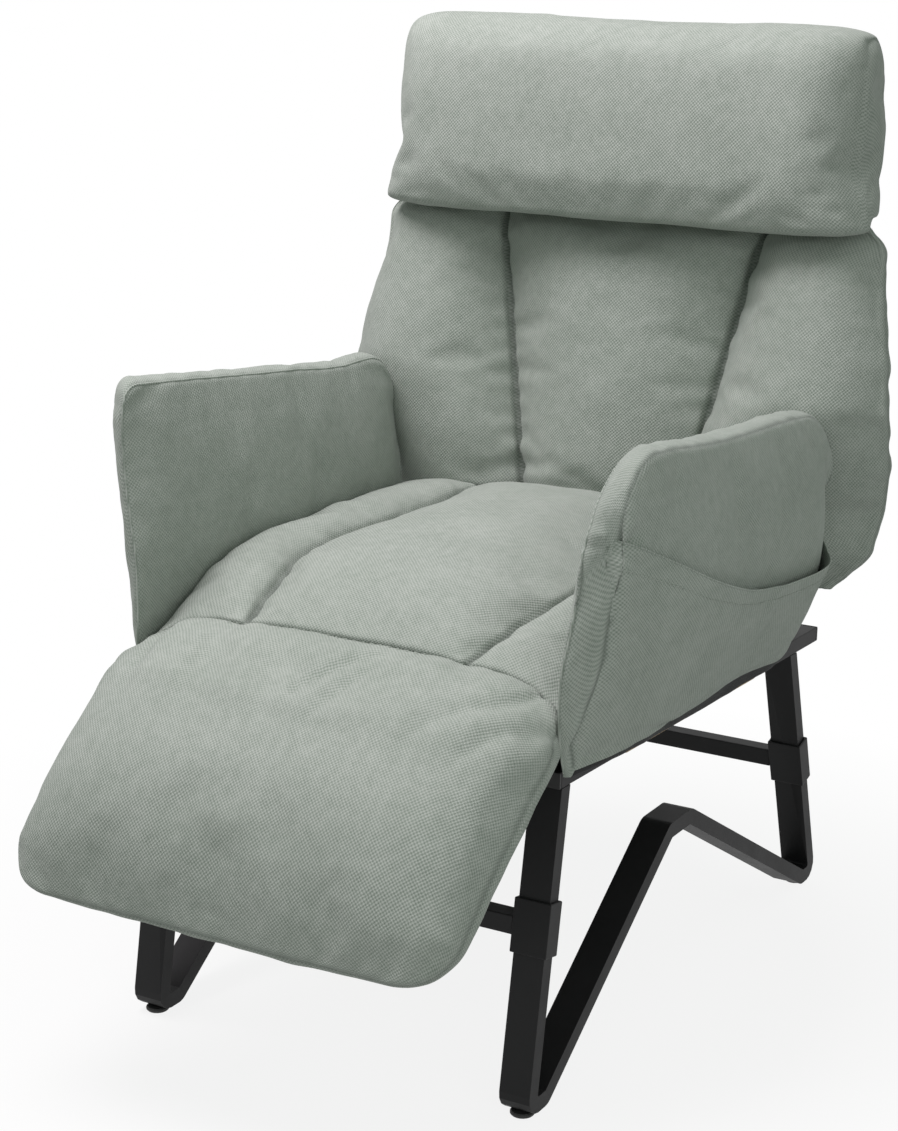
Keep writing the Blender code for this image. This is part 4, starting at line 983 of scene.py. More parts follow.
class Trim:
    """Node trees that lay piping and stitches along sewn lines."""

    def __init__(self) -> None:
        """Build both trees."""
        self.piping_tree = self.build_piping()
        self.stitch_tree = self.build_stitches()

    @staticmethod
    def start(name: str, sizes: dict[str, float],
              step: str) -> tuple[bpy.types.NodeTree, NodeBoard, bpy.types.Node, bpy.types.NodeSocket]:
        """Start a tree with named inputs and an even line along its path.

        Args:
            name: The tree's name.
            sizes: Its size inputs and their first values.
            step: The input that spaces the line's points.

        Returns:
            The tree, its board, its input node and the line.
        """
        tree = bpy.data.node_groups.new(name, "GeometryNodeTree")
        tree.interface.new_socket("Path", in_out="INPUT", socket_type="NodeSocketGeometry")
        for word, value in sizes.items():
            socket = tree.interface.new_socket(word, in_out="INPUT", socket_type="NodeSocketFloat")
            socket.default_value = value
        tree.interface.new_socket("Finish", in_out="INPUT", socket_type="NodeSocketMaterial")
        tree.interface.new_socket("Trim", in_out="OUTPUT", socket_type="NodeSocketGeometry")
        board = NodeBoard(tree)
        source = board.add("NodeGroupInput")
        curve = board.add("GeometryNodeMeshToCurve", {0: source.outputs["Path"]})
        even = board.add("GeometryNodeResampleCurve", {0: curve.outputs[0], "Length": source.outputs[step]},
                         mode="LENGTH")
        return tree, board, source, even.outputs[0]

    @staticmethod
    def end(board: NodeBoard, made: bpy.types.NodeSocket, finish: bpy.types.NodeSocket) -> None:
        """End a tree in a plain mesh with its finish.

        Args:
            board: The tree's board.
            made: The geometry to end with.
            finish: The material input.
        """
        plain = board.add("GeometryNodeRealizeInstances", {0: made})
        smooth = board.add("GeometryNodeSetShadeSmooth", {0: plain.outputs[0]})
        dressed = board.add("GeometryNodeSetMaterial", {0: smooth.outputs[0], "Material": finish})
        board.add("NodeGroupOutput", {0: dressed.outputs[0]})

    def build_piping(self) -> bpy.types.NodeTree:
        """A round cord along the path.

        Returns:
            The tree.
        """
        tree, board, source, even = self.start("piping", {"Radius": 0.0018, "Spacing": 0.004}, "Spacing")
        ring = board.add("GeometryNodeCurvePrimitiveCircle", {"Resolution": 8, "Radius": source.outputs["Radius"]})
        tube = board.add("GeometryNodeCurveToMesh", {0: even, 1: ring.outputs[0], "Fill Caps": True})
        self.end(board, tube.outputs[0], source.outputs["Finish"])
        return tree

    def build_stitches(self) -> bpy.types.NodeTree:
        """Short rounded threads at an even pitch along the path.

        Returns:
            The tree.
        """
        sizes = {"Pitch": 0.008, "Length": 0.005, "Thickness": 0.0011, "Wander": 0.12}
        tree, board, source, even = self.start("stitches", sizes, "Pitch")
        ball = board.add("GeometryNodeMeshUVSphere", {"Segments": 8, "Rings": 6, "Radius": 0.5})
        size = board.add("ShaderNodeCombineXYZ", {0: source.outputs["Length"], 1: source.outputs["Thickness"],
                                                  2: source.outputs["Thickness"]})
        thread = board.add("GeometryNodeTransform", {0: ball.outputs[0], "Scale": size.outputs[0]})
        tangent = board.add("GeometryNodeInputTangent")
        least, most = (board.add("ShaderNodeVectorMath", {0: (sign, sign, sign), 3: source.outputs["Wander"]},
                                 operation="SCALE") for sign in (-1.0, 1.0))
        stray = board.add("FunctionNodeRandomValue", {"Min": least.outputs[0], "Max": most.outputs[0], "Seed": 5},
                          data_type="FLOAT_VECTOR")
        way = board.add("ShaderNodeVectorMath", {0: tangent.outputs[0], 1: stray.outputs[0]}, operation="ADD")
        turn = board.add("FunctionNodeAlignRotationToVector", {"Vector": way.outputs[0]}, axis="X")
        rows = board.add("GeometryNodeInstanceOnPoints", {"Points": even, "Instance": thread.outputs[0],
                                                          "Rotation": turn.outputs[0]})
        self.end(board, rows.outputs[0], source.outputs["Finish"])
        return tree

    @staticmethod
    def lay(tree: bpy.types.NodeTree, name: str, path: Line, finish: bpy.types.Material,
            sizes: dict[str, float]) -> bpy.types.Object:
        """Run a tree along a path and keep the result as a plain mesh that rides on the base.

        Args:
            tree: The piping or the stitch tree.
            name: The piece's name.
            path: Points in the chair's frame.
            finish: The piece's material.
            sizes: Values for the tree's inputs by name.

        Returns:
            The piece.
        """
        mesh = bpy.data.meshes.new(name)
        mesh.from_pydata([tuple(point) for point in path], [(k, k + 1) for k in range(len(path) - 1)], [])
        obj = link_object(name, mesh)
        nodes = obj.modifiers.new("trim", "NODES")
        nodes.node_group = tree
        values = {**sizes, "Finish": finish}
        for item in tree.interface.items_tree:
            if item.in_out == "INPUT" and item.name in values:
                nodes[item.identifier] = values[item.name]
        plain_mesh(obj)
        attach(obj, Body.BASE.value)
        note_piece(obj)
        return obj


@dataclass
class Workshop:
    """What the cushions share while they are dressed."""

    finishes: Finishes
    trim: Trim

    def pipe(self, name: str, path: Line, radius: float) -> bpy.types.Object:
        """A piping along a path, by its radius."""
        return self.trim.lay(self.trim.piping_tree, name, path, self.finishes.piping, {"Radius": radius})

    def stitch(self, name: str, path: Line, sizes: Triple) -> bpy.types.Object:
        """A row of stitches along a path, by their pitch, length and thickness."""
        inputs = dict(zip(("Pitch", "Length", "Thickness"), sizes))
        return self.trim.lay(self.trim.stitch_tree, name, path, self.finishes.thread, inputs)


class Pad:
    """What the padded pieces share.

    A pad with no bend rides on one body; one with a bend is baked in place and rides on none.
    """

    cover: Cover
    node = ""
    fill = 0.75
    rides = Body.BASE
    bend: tuple[str, Triple, Triple] | None = None
    lined = False

    def folds(self, _: Vector) -> float:
        """Height of the pad's own folds at a point of the chair."""
        return 0.0

    def dress(self, shop: Workshop) -> None:
        """Refine the cover, give it its cloth, attach it to its body unless it has a bend, and hide the solid it stands
        for.

        Args:
            shop: Finishes and trim.
        """
        self.cover.refine(self.folds)
        obj = self.cover.obj
        obj.data.materials.append(shop.finishes.cloth)
        if self.lined:
            obj.data.materials.append(shop.finishes.lining)
        if self.bend is None:
            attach(obj, self.rides.value)
        else:
            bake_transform(obj)
        note_piece(obj, [self.node])


# Seat


@dataclass
class SeatCushion(Pad):
    """The seat pad: a crowned middle panel between two long seams, and lower sides."""

    node = "seat_cushion"
    front: float = -0.2147
    rear: float = 0.2839
    half_width: float = 0.2462
    bottom: float = 0.0392
    front_lean: float = 0.30
    seam_dip: float = 0.024
    dip_ends: Pair = (0.03, 0.94)
    dip_fullness: float = 6.0
    panel_fullness: float = 3.6
    side_fullness: float = 4.5
    side_slope: float = 0.4
    side_roll: float = 0.6
    corner_lead: float = 0.034
    corner_start: float = 0.15
    corner_reach: float = 0.12
    base_inset: float = 0.0222
    rise: Profile = Profile(((0.0, 0.0725), (0.1, 0.0970), (0.26, 0.1190), (0.5, 0.1290), (0.9, 0.1310), (1.0, 0.125)))
    seam_x: Profile = Profile(((0.0, 0.130), (0.115, 0.142), (0.32, 0.160), (0.53, 0.153), (0.91, 0.147), (1.0, 0.146)))
    side_drop: Profile = Profile(((0.0, 0.046), (0.08, 0.036), (0.2, 0.026), (1.0, 0.024)))
    rows: int = 60
    middle: int = 25
    outer: int = 12
    edge: int = 6

    def fall(self, row: float, x: float) -> float:
        """How far the top lies below its crown line.

        Args:
            row: Share of the way from the front to the rear.
            x: Distance from the middle of the chair.

        Returns:
            The drop of the side and of the seam together.
        """
        seam = self.seam_x.at(row)
        dip = self.seam_dip * puff(self.dip_ends[0] + self.dip_ends[1] * row, self.dip_fullness)
        if abs(x) <= seam:
            return dip * (1 - math.sqrt(1 - abs(x / seam) ** self.panel_fullness))
        outward = min(1.0, (abs(x) - seam) / (self.half_width - seam))
        swell = math.sqrt(1 - (1 - outward) ** self.side_fullness)
        drop = self.side_drop.at(row) * (self.side_slope * outward + self.side_roll * outward ** 4)
        return drop + dip * (1 - swell)

    def top(self, row: float, x: float) -> Vector:
        """A point of the seat's top, in the seat's frame.

        Args:
            row: Share of the way from the front to the rear.
            x: Distance from the middle of the chair.

        Returns:
            The point.
        """
        fall = self.fall(row, x)
        y = self.front + row * (self.rear - self.front) + fall * self.front_lean * (1 - row)
        outward = max(0.0, (abs(x) - self.corner_start) / (self.half_width - self.corner_start))
        y -= self.corner_lead * min(1.0, outward) ** 3 * max(0.0, 1 - row / self.corner_reach) ** 2
        return Vector((x, y, self.bottom + self.rise.at(row) - fall))

    def ring(self, row: float) -> list[Vector]:
        """A ring of the pad across the chair.

        Args:
            row: Share of the way from the front to the rear.

        Returns:
            The ring's points in the chair's frame.
        """
        seam = self.seam_x.at(row)
        side = [seam + (self.half_width - seam) * s for s in shares(self.outer, 0.75)]
        middle = [seam * (2 * s - 1) for s in shares(self.middle, 0.75)[1:-1]]
        across = [-x for x in reversed(side)] + middle + side
        top = [self.top(row, x) for x in across]
        low_y = self.front + self.base_inset + row * (self.rear - self.front - self.base_inset)
        base = [Vector((x, low_y, self.bottom)) for x in reversed(across)]
        return [SEAT_FRAME.world(point) for point in wrap_ring(top, base, self.edge)]

    def make(self) -> Cover:
        """Sew the seat's cover.

        Returns:
            The cover, not yet filled.
        """
        face = 2 * self.outer + self.middle - 2
        loft = Loft("seat_pad", [self.ring(row) for row in shares(self.rows, 0.45)], face, self.edge)
        first, second = self.outer - 1, self.outer + self.middle - 2
        pins = set(loft.hoop(0)) | set(loft.hoop(-1))
        for ring in range(self.rows):
            pins.update(loft.hoop(ring, range(face - 1, loft.around)))
            pins.add(loft.hoop(ring, [0])[0])
        pins.update(range(self.rows * loft.around, self.rows * loft.around + 2 * (face - 2) * self.edge))
        seams = [Seam(tuple(loft.along(place)[:-2]), depth=0.0045, width=0.0042, pucker=0.0015, wave=0.026,
                      reach=0.026) for place in (first, second)]
        self.cover = Cover(loft, seams, pins, Filling(pressure=4.0, cap=0.022), lump=0.0016, seed=2.0)
        return self.cover


# Footrest


@dataclass
class FootrestPad(Pad):
    """The footrest's pad, sewn to the front of the seat and tapering to a hemmed tip."""

    node = "footrest_cushion"
    fill = 0.6
    bend = (Body.FOOTREST.value, (0.0, -0.225, 0.40), (0.0, -0.310, 0.40))
    seat: SeatCushion
    half_width: float = 0.2525
    heel_inset: float = 0.004
    corner: float = 0.055
    band: float = 0.013
    top_line: tuple[Pair, ...] = (
        (0.050, 0.0114), (0.030, 0.0195), (0.005, 0.0300), (-0.030, 0.0425), (-0.058, 0.0520), (-0.0856, 0.0590),
        (-0.110, 0.0630), (-0.147, 0.0654), (-0.170, 0.0640), (-0.195, 0.0590), (-0.220, 0.0502), (-0.245, 0.0371),
        (-0.265, 0.0223), (-0.280, 0.0083), (-0.288, -0.0010))
    low_line: tuple[Pair, ...] = (
        (0.026, -0.0200), (0.010, -0.0290), (-0.030, -0.0270), (-0.090, -0.0210), (-0.150, -0.0185),
        (-0.210, -0.0180), (-0.260, -0.0170), (-0.284, -0.0140))
    heel_share: float = 0.22
    sewn_share: float = 0.26
    tip_span: Pair = (0.72, 0.28)
    corner_cut: float = 0.92
    roll: Pair = (5.0, 3.0)
    under_lift: float = 0.004
    fold_floor: float = -0.005
    gather: float = 0.0110
    gather_in: float = 0.03
    gather_out: Pair = (0.07, 0.09)
    gather_drift: float = 0.35
    gather_parts: Triple = (0.6, 0.45, 0.35)
    crease: Triple = (0.060, 0.14, 2.7)
    wide: Triple = (0.090, 0.08, 8.1)
    fold: Triple = (0.16, 0.030, 5.2)
    crease_width: float = 0.17
    ridge_place: float = 0.105
    ridge_width: float = 0.030
    stitch_lift: Triple = (0.0, -0.0045, 0.0026)
    stitches: Triple = (0.0100, 0.0042, 0.0010)
    rows: int = 52
    face: int = 49
    edge: int = 3

    def ring(self, row: float) -> list[Vector]:
        """A ring of the pad across the chair.

        Args:
            row: Share of the way from the seam to the tip.

        Returns:
            The ring's points in the chair's frame.
        """
        crest, under = (spread(line_through(line), [row])[0] for line in (self.top_line, self.low_line))
        inset = self.heel_inset * (1 - smooth_step(row / self.heel_share))
        width = self.half_width - inset - quarter(crest.y - self.top_line[-1][0], self.corner) * self.corner_cut
        sewn = 1 - smooth_step(row / self.sewn_share)
        tip = ramp(row, self.tip_span)
        rim = under.z + self.band
        start = FOOT_FRAME.local(SEAT_FRAME.world(self.seat.top(0.0, 0.0)))
        top, base = [], []
        for share in shares(self.face, 0.55):
            across = 2 * share - 1
            x = across * width
            side = crest.copy()
            roll = abs(across) ** (self.roll[0] + self.roll[1] * tip)
            side.z = rim + (crest.z - rim) * math.sqrt(max(0.0, 1 - roll))
            edge = FOOT_FRAME.local(SEAT_FRAME.world(self.seat.top(0.0, x)))
            seam = crest + (edge - start)
            point = side.lerp(seam, sewn)
            top.append(Vector((x, point.y, point.z)))
            base.append(Vector((x, under.y, under.z + self.under_lift * abs(across) ** 6)))
        base.reverse()
        return [FOOT_FRAME.world(point) for point in wrap_ring(top, base, self.edge)]

    def make(self) -> Cover:
        """Sew the footrest's cover.

        Returns:
            The cover, not yet filled.
        """
        loft = Loft("footrest_pad", [self.ring(row) for row in shares(self.rows, 0.5)], self.face, self.edge,
                    (0.0, 0.002))
        pins = set(loft.hoop(0)) | set(loft.hoop(-1))
        for place in range(self.face - 1, self.face + self.edge + 1):
            pins.update(loft.along(place))
        for place in range(2 * self.face + self.edge - 1, loft.around + 1):
            pins.update(loft.along(place))
        last = self.rows * loft.around
        pins.update(range(last, last + 2 * (self.face - 2) * self.edge))
        hem = loft.along(0) + loft.hoop(-1, range(1, self.face)) + list(reversed(loft.along(self.face - 1)))
        seams = [Seam(tuple(loft.hoop(0, range(self.face))), depth=0.0020, width=0.0038, pucker=0.0010, wave=0.026,
                      reach=0.028, shade=0.35),
                 Seam(tuple(hem[3:-3]), depth=0.0014, width=0.0035, pucker=0.0006, wave=0.03, reach=0.02, shade=0.55)]
        self.cover = Cover(loft, seams, pins, Filling(pressure=3.0, cap=0.006, slack=0.012), lump=0.0014, seed=4.0)
        return self.cover

    def folds(self, place: Vector) -> float:
        """Gathers that run from the seam towards the tip and fade out.

        Args:
            place: A point of the chair.

        Returns:
            Height of the gathers there.
        """
        local = FOOT_FRAME.local(place)
        if local.z < self.fold_floor:
            return 0.0
        down = self.top_line[0][0] - local.y
        fade = smooth_step(down / self.gather_in) * (1 - ramp(down, self.gather_out))
        drift = self.gather_drift * down * (1 if local.x > 0 else -1)
        crease = ripple(local.x + drift, down, self.crease)
        wide = ripple(local.x + drift, down, self.wide)
        fold = ripple(local.x, down, self.fold)
        ridge = bell(down - self.ridge_place, self.ridge_width)
        fine, broad, over = self.gather_parts
        height = self.gather * fine * fade * (1 - bell(crease, self.crease_width))
        return height + self.gather * (broad * fade * abs(wide) + over * ridge * fold)

    def dress(self, shop: Workshop) -> None:
        """Finish the footrest, with the stitches of its seam.

        Args:
            shop: Finishes and trim.
        """
        super().dress(shop)
        line = self.cover.path(self.cover.loft.hoop(0, range(2, self.face - 2)))
        shop.stitch("seat_seam_stitches", [point + Vector(self.stitch_lift) for point in line], self.stitches)


# Back


@dataclass
class BackCushion(Pad):
    """The back: a flat middle channel between two full lobes that wrap forwards."""

    node = "back_cushion"
    rides = Body.BACK
    length: float = 0.352
    half_width: float = 0.333
    heel: float = 0.0575
    centre_depth: float = 0.069
    lobe_depth: float = 0.083
    seam_depth: float = 0.040
    rear_depth: float = 0.050
    wing: float = 0.048
    least: float = 0.008
    foot: float = -0.053
    bow: float = 0.006
    seam_start: float = 0.098
    seam_spread: float = 0.072
    channel_fullness: float = 4.6
    lobe_fullness: float = 3.0
    top_span: Pair = (0.86, 0.14)
    top_round: float = 0.85
    side_span: Pair = (0.4, 0.36)
    side_round: float = 0.94
    held_below: float = 0.03
    outline: Profile = Profile(((-0.16, 0.82), (0.0, 0.96), (0.4, 1.012), (0.55, 0.994), (0.7, 0.964),
                                (0.82, 0.945), (0.92, 0.938), (1.0, 0.86)))
    fullness: Profile = Profile(((-0.16, 0.45), (0.0, 0.70), (0.22, 0.93), (0.45, 1.0), (0.75, 0.95), (1.0, 0.80)))
    wrap: Profile = Profile(((0.12, 0.0), (0.28, 0.5), (0.42, 1.0)))
    rows: int = 58
    middle: int = 23
    outer: int = 21
    edge: int = 4

    def ring(self, z: float) -> list[Vector]:
        """A ring of the back at a height above its hinge.

        Args:
            z: The height along the back.

        Returns:
            The ring's points in the chair's frame.
        """
        share = z / self.length
        width = self.half_width * self.outline.at(share)
        seam = self.seam_start + self.seam_spread * clamp(share)
        heel = math.sqrt(max(1e-6, self.heel ** 2 - min(z, 0.0) ** 2))
        most = heel if z < 0.004 else self.length
        start, reach = self.top_span
        round_top = math.sqrt(1 - self.top_round * max(0.0, (share - start) / reach) ** 2)
        lobe = self.lobe_depth * self.fullness.at(share)
        wing = self.wing * self.wrap.at(share)
        side = shares(self.outer, 0.8)
        across = [(-1, s) for s in reversed(side)] + [(0, 2 * s - 1) for s in shares(self.middle, 0.8)[1:-1]]
        across += [(1, s) for s in side]
        front, rear = [], []
        for lobe_side, part in across:
            if lobe_side == 0:
                x, shift, thin = seam * part, 0.0, 1.0
                swell = 1 - abs(part) ** self.channel_fullness
                depth = self.seam_depth + (self.centre_depth - self.seam_depth) * swell
            else:
                x, shift = lobe_side * (seam + (width - seam) * part), wing * part ** 2
                swell = puff(part, self.lobe_fullness)
                depth = self.seam_depth * (1 - part) + (lobe - self.seam_depth * 0.5) * swell
                thin = math.sqrt(1 - self.side_round * max(0.0, part - self.side_span[0]) ** 2 / self.side_span[1])
            front.append(Vector((x, -shift - max(self.least, min(depth, most) * round_top), z)))
            rear.append(Vector((x, -shift + max(self.least, min(self.rear_depth * thin, most) * round_top), z)))
        rear.reverse()
        return [BACK_FRAME.world(point) for point in wrap_ring(front, rear, self.edge, self.bow)]

    def make(self) -> Cover:
        """Sew the back's cover.

        Returns:
            The cover, not yet filled.
        """
        face = 2 * self.outer + self.middle - 2
        heights = [self.foot + (self.length - self.foot) * s for s in shares(self.rows, 0.35)]
        loft = Loft("back_pad", [self.ring(z) for z in heights], face, self.edge, (0.004, 0.004))
        first, second = self.outer - 1, self.outer + self.middle - 2
        pins = set(loft.hoop(0)) | set(loft.hoop(-1))
        for ring, z in enumerate(heights):
            if z < self.held_below:
                pins.update(loft.hoop(ring, range(self.outer - 4, self.outer + self.middle + 2)))
            pins.update(loft.hoop(ring, range(face + self.edge, 2 * face + self.edge)))
        edges = [loft.along(face + 1), loft.along(loft.around - 2)]
        seams = [Seam(tuple(loft.along(place)[:-1]), depth=0.0075, width=0.0034, pucker=0.0022, wave=0.022,
                      reach=0.026, shade=0.75) for place in (first, second)]
        seams += [Seam(tuple(path[2:-2]), depth=0.0012, width=0.004, pucker=0.0010, wave=0.03, reach=0.022, shade=0.5)
                  for path in edges]
        self.cover = Cover(loft, seams, pins, Filling(pressure=4.0, cap=0.016), lump=0.0022, lump_size=0.10, seed=6.0)
        return self.cover


# Head pillow


@dataclass
class HeadPillow(Pad):
    """The block pillow that hangs over the front of the back."""

    node = "head_pillow"
    fill = 0.8
    rides = Body.BACK
    bend = (Body.HEAD.value, (0.0, 0.36, 0.778), (0.0, 0.36, 0.850))
    half_width: float = 0.284
    section: tuple[Pair, ...] = (
        (-0.096, -0.048), (-0.103, -0.024), (-0.106, 0.030), (-0.104, 0.090), (-0.095, 0.140), (-0.074, 0.166),
        (-0.035, 0.176), (0.004, 0.168), (0.028, 0.140), (0.036, 0.090), (0.036, 0.030), (0.028, -0.012),
        (0.000, -0.030), (-0.045, -0.034), (-0.066, -0.040), (-0.082, -0.053))
    corners: tuple[int, ...] = (0, 5, 7, 11)
    draw_in: float = 0.62
    sink_in: float = 0.09
    end: float = 0.060
    middle: Pair = (-0.034, 0.056)
    square: Pair = (0.06, 0.10)
    ear: float = 0.005
    crown: float = 0.006
    crown_span: Pair = (0.09, 0.08)
    tuck: float = 0.024
    tuck_span: Pair = (-0.035, 0.10)
    face: int = 33
    edge: int = 11
    rows: int = 64

    def ring(self, share: float) -> list[Vector]:
        """A ring of the pillow at a share of its half width.

        Args:
            share: From -1 at the sitter's right to 1 at the left.

        Returns:
            The ring's points in the chair's frame.
        """
        knots = [Vector((0, *point)) for point in self.section]
        points = closed_section(knots, self.corners, self.face, self.edge)
        x = share * self.half_width
        near = max(0.0, (abs(x) - self.half_width + self.end) / self.end)
        turn = 1 - math.cos(near * math.pi / 2)
        if near > 0:
            x = math.copysign(self.half_width - self.end + self.end * math.sin(near * math.pi / 2), x)
        middle = Vector((0, *self.middle))
        ring = []
        for point in points:
            away = point - middle
            square = min(1.0, abs(away.y) / self.square[0]) * min(1.0, abs(away.z) / self.square[1])
            ear = self.ear * near ** 3 * (square ** 2 - 0.3)
            crown = self.crown * (1 - share * share) * ramp(point.z, self.crown_span)
            y = middle.y + away.y * (1 - self.draw_in * turn)
            z = middle.z + away.z * (1 - self.sink_in * turn) + crown
            tuck = self.tuck * near * ramp(-point.z, self.tuck_span)
            ring.append(HEAD_FRAME.world((x + math.copysign(ear - tuck, x), y, z)))
        return ring

    def make(self) -> Cover:
        """Sew the pillow's cover.

        Returns:
            The cover, not yet filled.
        """
        rows = [2 * s - 1 for s in shares(self.rows, 0.6)]
        loft = Loft("head_pillow_pad", [self.ring(share) for share in rows], self.face, self.edge, (0.013, 0.013))
        pins = set()
        for ring in range(self.rows):
            pins.update(loft.hoop(ring, range(2 * self.face + self.edge - 8, loft.around + 1)))
        self.cover = Cover(loft, [], pins, Filling(pressure=3.0, cap=0.008, slack=0.010), lump=0.0018,
                           lump_size=0.11, seed=9.0)
        return self.cover


# Arms


@dataclass(frozen=True)
class ArmOutline:
    """How one arm's padding has settled: its top line and its corners."""

    top: Profile
    front_corner: float
    rear_corner: float
    lean: float
    inner_cut: float = 0.0
    bow: float = 0.003


ARM_OUTLINES = {
    Side.LEFT: ArmOutline(Profile(((0.0, 0.322), (0.17, 0.321), (0.5, 0.308), (0.8, 0.304), (1.0, 0.297))),
                          0.078, 0.056, 0.010, 0.55, 0.015),
    Side.RIGHT: ArmOutline(Profile(((0.0, 0.337), (0.25, 0.328), (0.6, 0.313), (0.8, 0.305), (0.9, 0.306),
                                    (1.0, 0.299))), 0.026, 0.050, 0.020),
}


@dataclass
class ArmPad(Pad):
    """A boxed arm: an inner and an outer panel with a strip sewn between them."""

    fill = 0.7
    lined = True
    side: Side
    inner_x: float = 0.2495
    front: float = -0.23425
    length: float = 0.5121
    bottom: float = 0.0180
    outer_bottom: Profile = Profile(((0.0, 0.025), (0.1, 0.025), (0.2, 0.027), (0.35, 0.029), (0.5, 0.032),
                                     (0.65, 0.037), (0.82, 0.031), (1.0, 0.020)))
    outer_span: Pair = (0.72, 0.28)
    heel_corner: float = 0.080
    heel_cut: float = 0.9
    front_reach: float = 0.32
    front_fullness: float = 2.2
    rear_reach: float = 0.16
    rear_fullness: float = 2.0
    waist: float = 0.36
    lean_reach: float = 0.6
    lean_fade: float = 0.35
    inner_bulge: float = 0.012
    flare: float = 0.016
    flare_shift: float = 0.12
    follow: float = 0.7
    follow_span: Pair = (0.5, 0.5)
    skew: float = 0.80
    skew_reach: float = 0.35
    skew_fade: float = 1.3
    bow_reach: float = 0.3
    bow_fade: float = 0.4
    held_below: float = 0.105
    gusset: Pair = (0.36, 0.12)
    crown: float = 0.004
    ridge_radius: float = 0.0012
    pucker: float = 0.0005
    pucker_size: Pair = (0.019, 0.12)
    pucker_in: float = 0.012
    pucker_out: Pair = (0.02, 0.085)
    pucker_reach: float = 0.8
    pinch_spot: Triple = (0.0, 0.99, 1.0)
    pinch_depth: float = 0.0060
    pinch_width: float = 0.012
    pinch_folds: float = 0.0024
    pinch_ring: Pair = (0.020, 0.016)
    far_pinch: float = 0.15
    front_strip: Profile = Profile(((0.0, 0.010), (0.12, 0.008), (0.3, 0.021), (0.55, 0.033), (0.85, 0.037),
                                    (1.0, 0.034)))
    body: Profile = Profile(((0.0, 0.022), (0.25, 0.040), (0.5, 0.052), (0.72, 0.056), (0.88, 0.051), (1.0, 0.036)))
    rear_strip: Profile = Profile(((0.0, 0.020), (0.4, 0.034), (0.7, 0.038), (0.88, 0.047), (1.0, 0.045)))
    rows: int = 66
    face: int = 39
    edge: int = 7
    inner_line: list[int] = field(init=False)

    @property
    def node(self) -> str:
        """The solid that this side's arm stands for."""
        return f"{self.side.word}_arm_pad"

    @property
    def outline(self) -> ArmOutline:
        """The top line and corners of this side's arm."""
        return ARM_OUTLINES[self.side]

    def heights(self, along: float, across: float = 1.0) -> Pair:
        """The bottom and the top of the arm at a share of its length.

        Args:
            along: Share of the way from the front to the rear.
            across: 0 on the inner panel, 1 on the outer.

        Returns:
            Both heights in the seat's frame.
        """
        near, far = along * self.length, (1 - along) * self.length
        top = self.outline.top.at(along)
        corner = self.outline.front_corner * (1 + self.outline.inner_cut * (1 - across))
        top -= quarter(near, corner) + quarter(far, self.outline.rear_corner)
        low = self.bottom + (self.outer_bottom.at(along) - self.bottom) * ramp(across, self.outer_span)
        return low + self.heel_cut * quarter(far, self.heel_corner), top

    def offsets(self, along: float, up: float) -> Pair:
        """How far the inner and the outer panel lie from the arm's inner plane.

        Args:
            along: Share of the way from the front to the rear.
            up: Share of the way from the bottom to the top.

        Returns:
            Both distances, outwards.
        """
        from_front = 1 - (1 - min(1.0, along / self.front_reach)) ** self.front_fullness
        from_rear = 1 - (1 - min(1.0, (1 - along) / self.rear_reach)) ** self.rear_fullness
        belly = arch(clamp((up - self.waist) / (1 - self.waist)))
        inner = self.outline.lean * ramp(up, (self.waist, self.lean_reach)) * (1 - self.lean_fade * along)
        inner -= self.inner_bulge * belly * from_front * from_rear
        full = self.body.at(up) + self.flare * along * arch(min(1.0, up + self.flare_shift))
        outer = self.front_strip.at(up) + (full - self.front_strip.at(up)) * from_front
        outer = self.rear_strip.at(up) + (outer - self.rear_strip.at(up)) * from_rear
        return inner, outer + self.follow * inner * ramp(up, self.follow_span)

    def point(self, along: float, up: float, across: float, crown: float = 0.0) -> Vector:
        """A point of the arm on the sitter's left, in the seat's frame.

        Args:
            along: Share of the way from the front to the rear.
            up: Share of the way from the bottom to the top.
            across: 0 on the inner panel, 1 on the outer.
            crown: Height above the top.

        Returns:
            The point.
        """
        low, top = self.heights(along, across)
        inner, outer = self.offsets(along, up)
        x = self.inner_x + inner + (outer - inner) * across
        skew = self.skew * (x - self.inner_x - inner) * max(0.0, 1 - along / self.skew_reach) ** self.skew_fade
        bow = self.outline.bow * arch(up) * (1 - self.bow_fade * across) * max(0.0, 1 - along / self.bow_reach) ** 2
        return Vector((x, self.front + along * self.length + skew - bow, low + up * (top - low) + crown))

    def ring(self, along: float) -> list[Vector]:
        """A ring round the arm.

        Args:
            along: Share of the way from the front to the rear.

        Returns:
            The ring's points in the chair's frame.
        """
        ups, steps = shares(self.face, 0.6), inner_shares(self.edge)
        inner = [self.point(along, up, 0.0) for up in ups]
        outer = [self.point(along, up, 1.0) for up in reversed(ups)]
        over = [self.point(along, 1.0, s, self.crown * arch(s)) for s in steps]
        under = [self.point(along, 0.0, 1 - s) for s in steps]
        placed = [SEAT_FRAME.world(point) for point in inner + over + outer + under]
        return [Vector((point.x * self.side.value, point.y, point.z)) for point in placed]

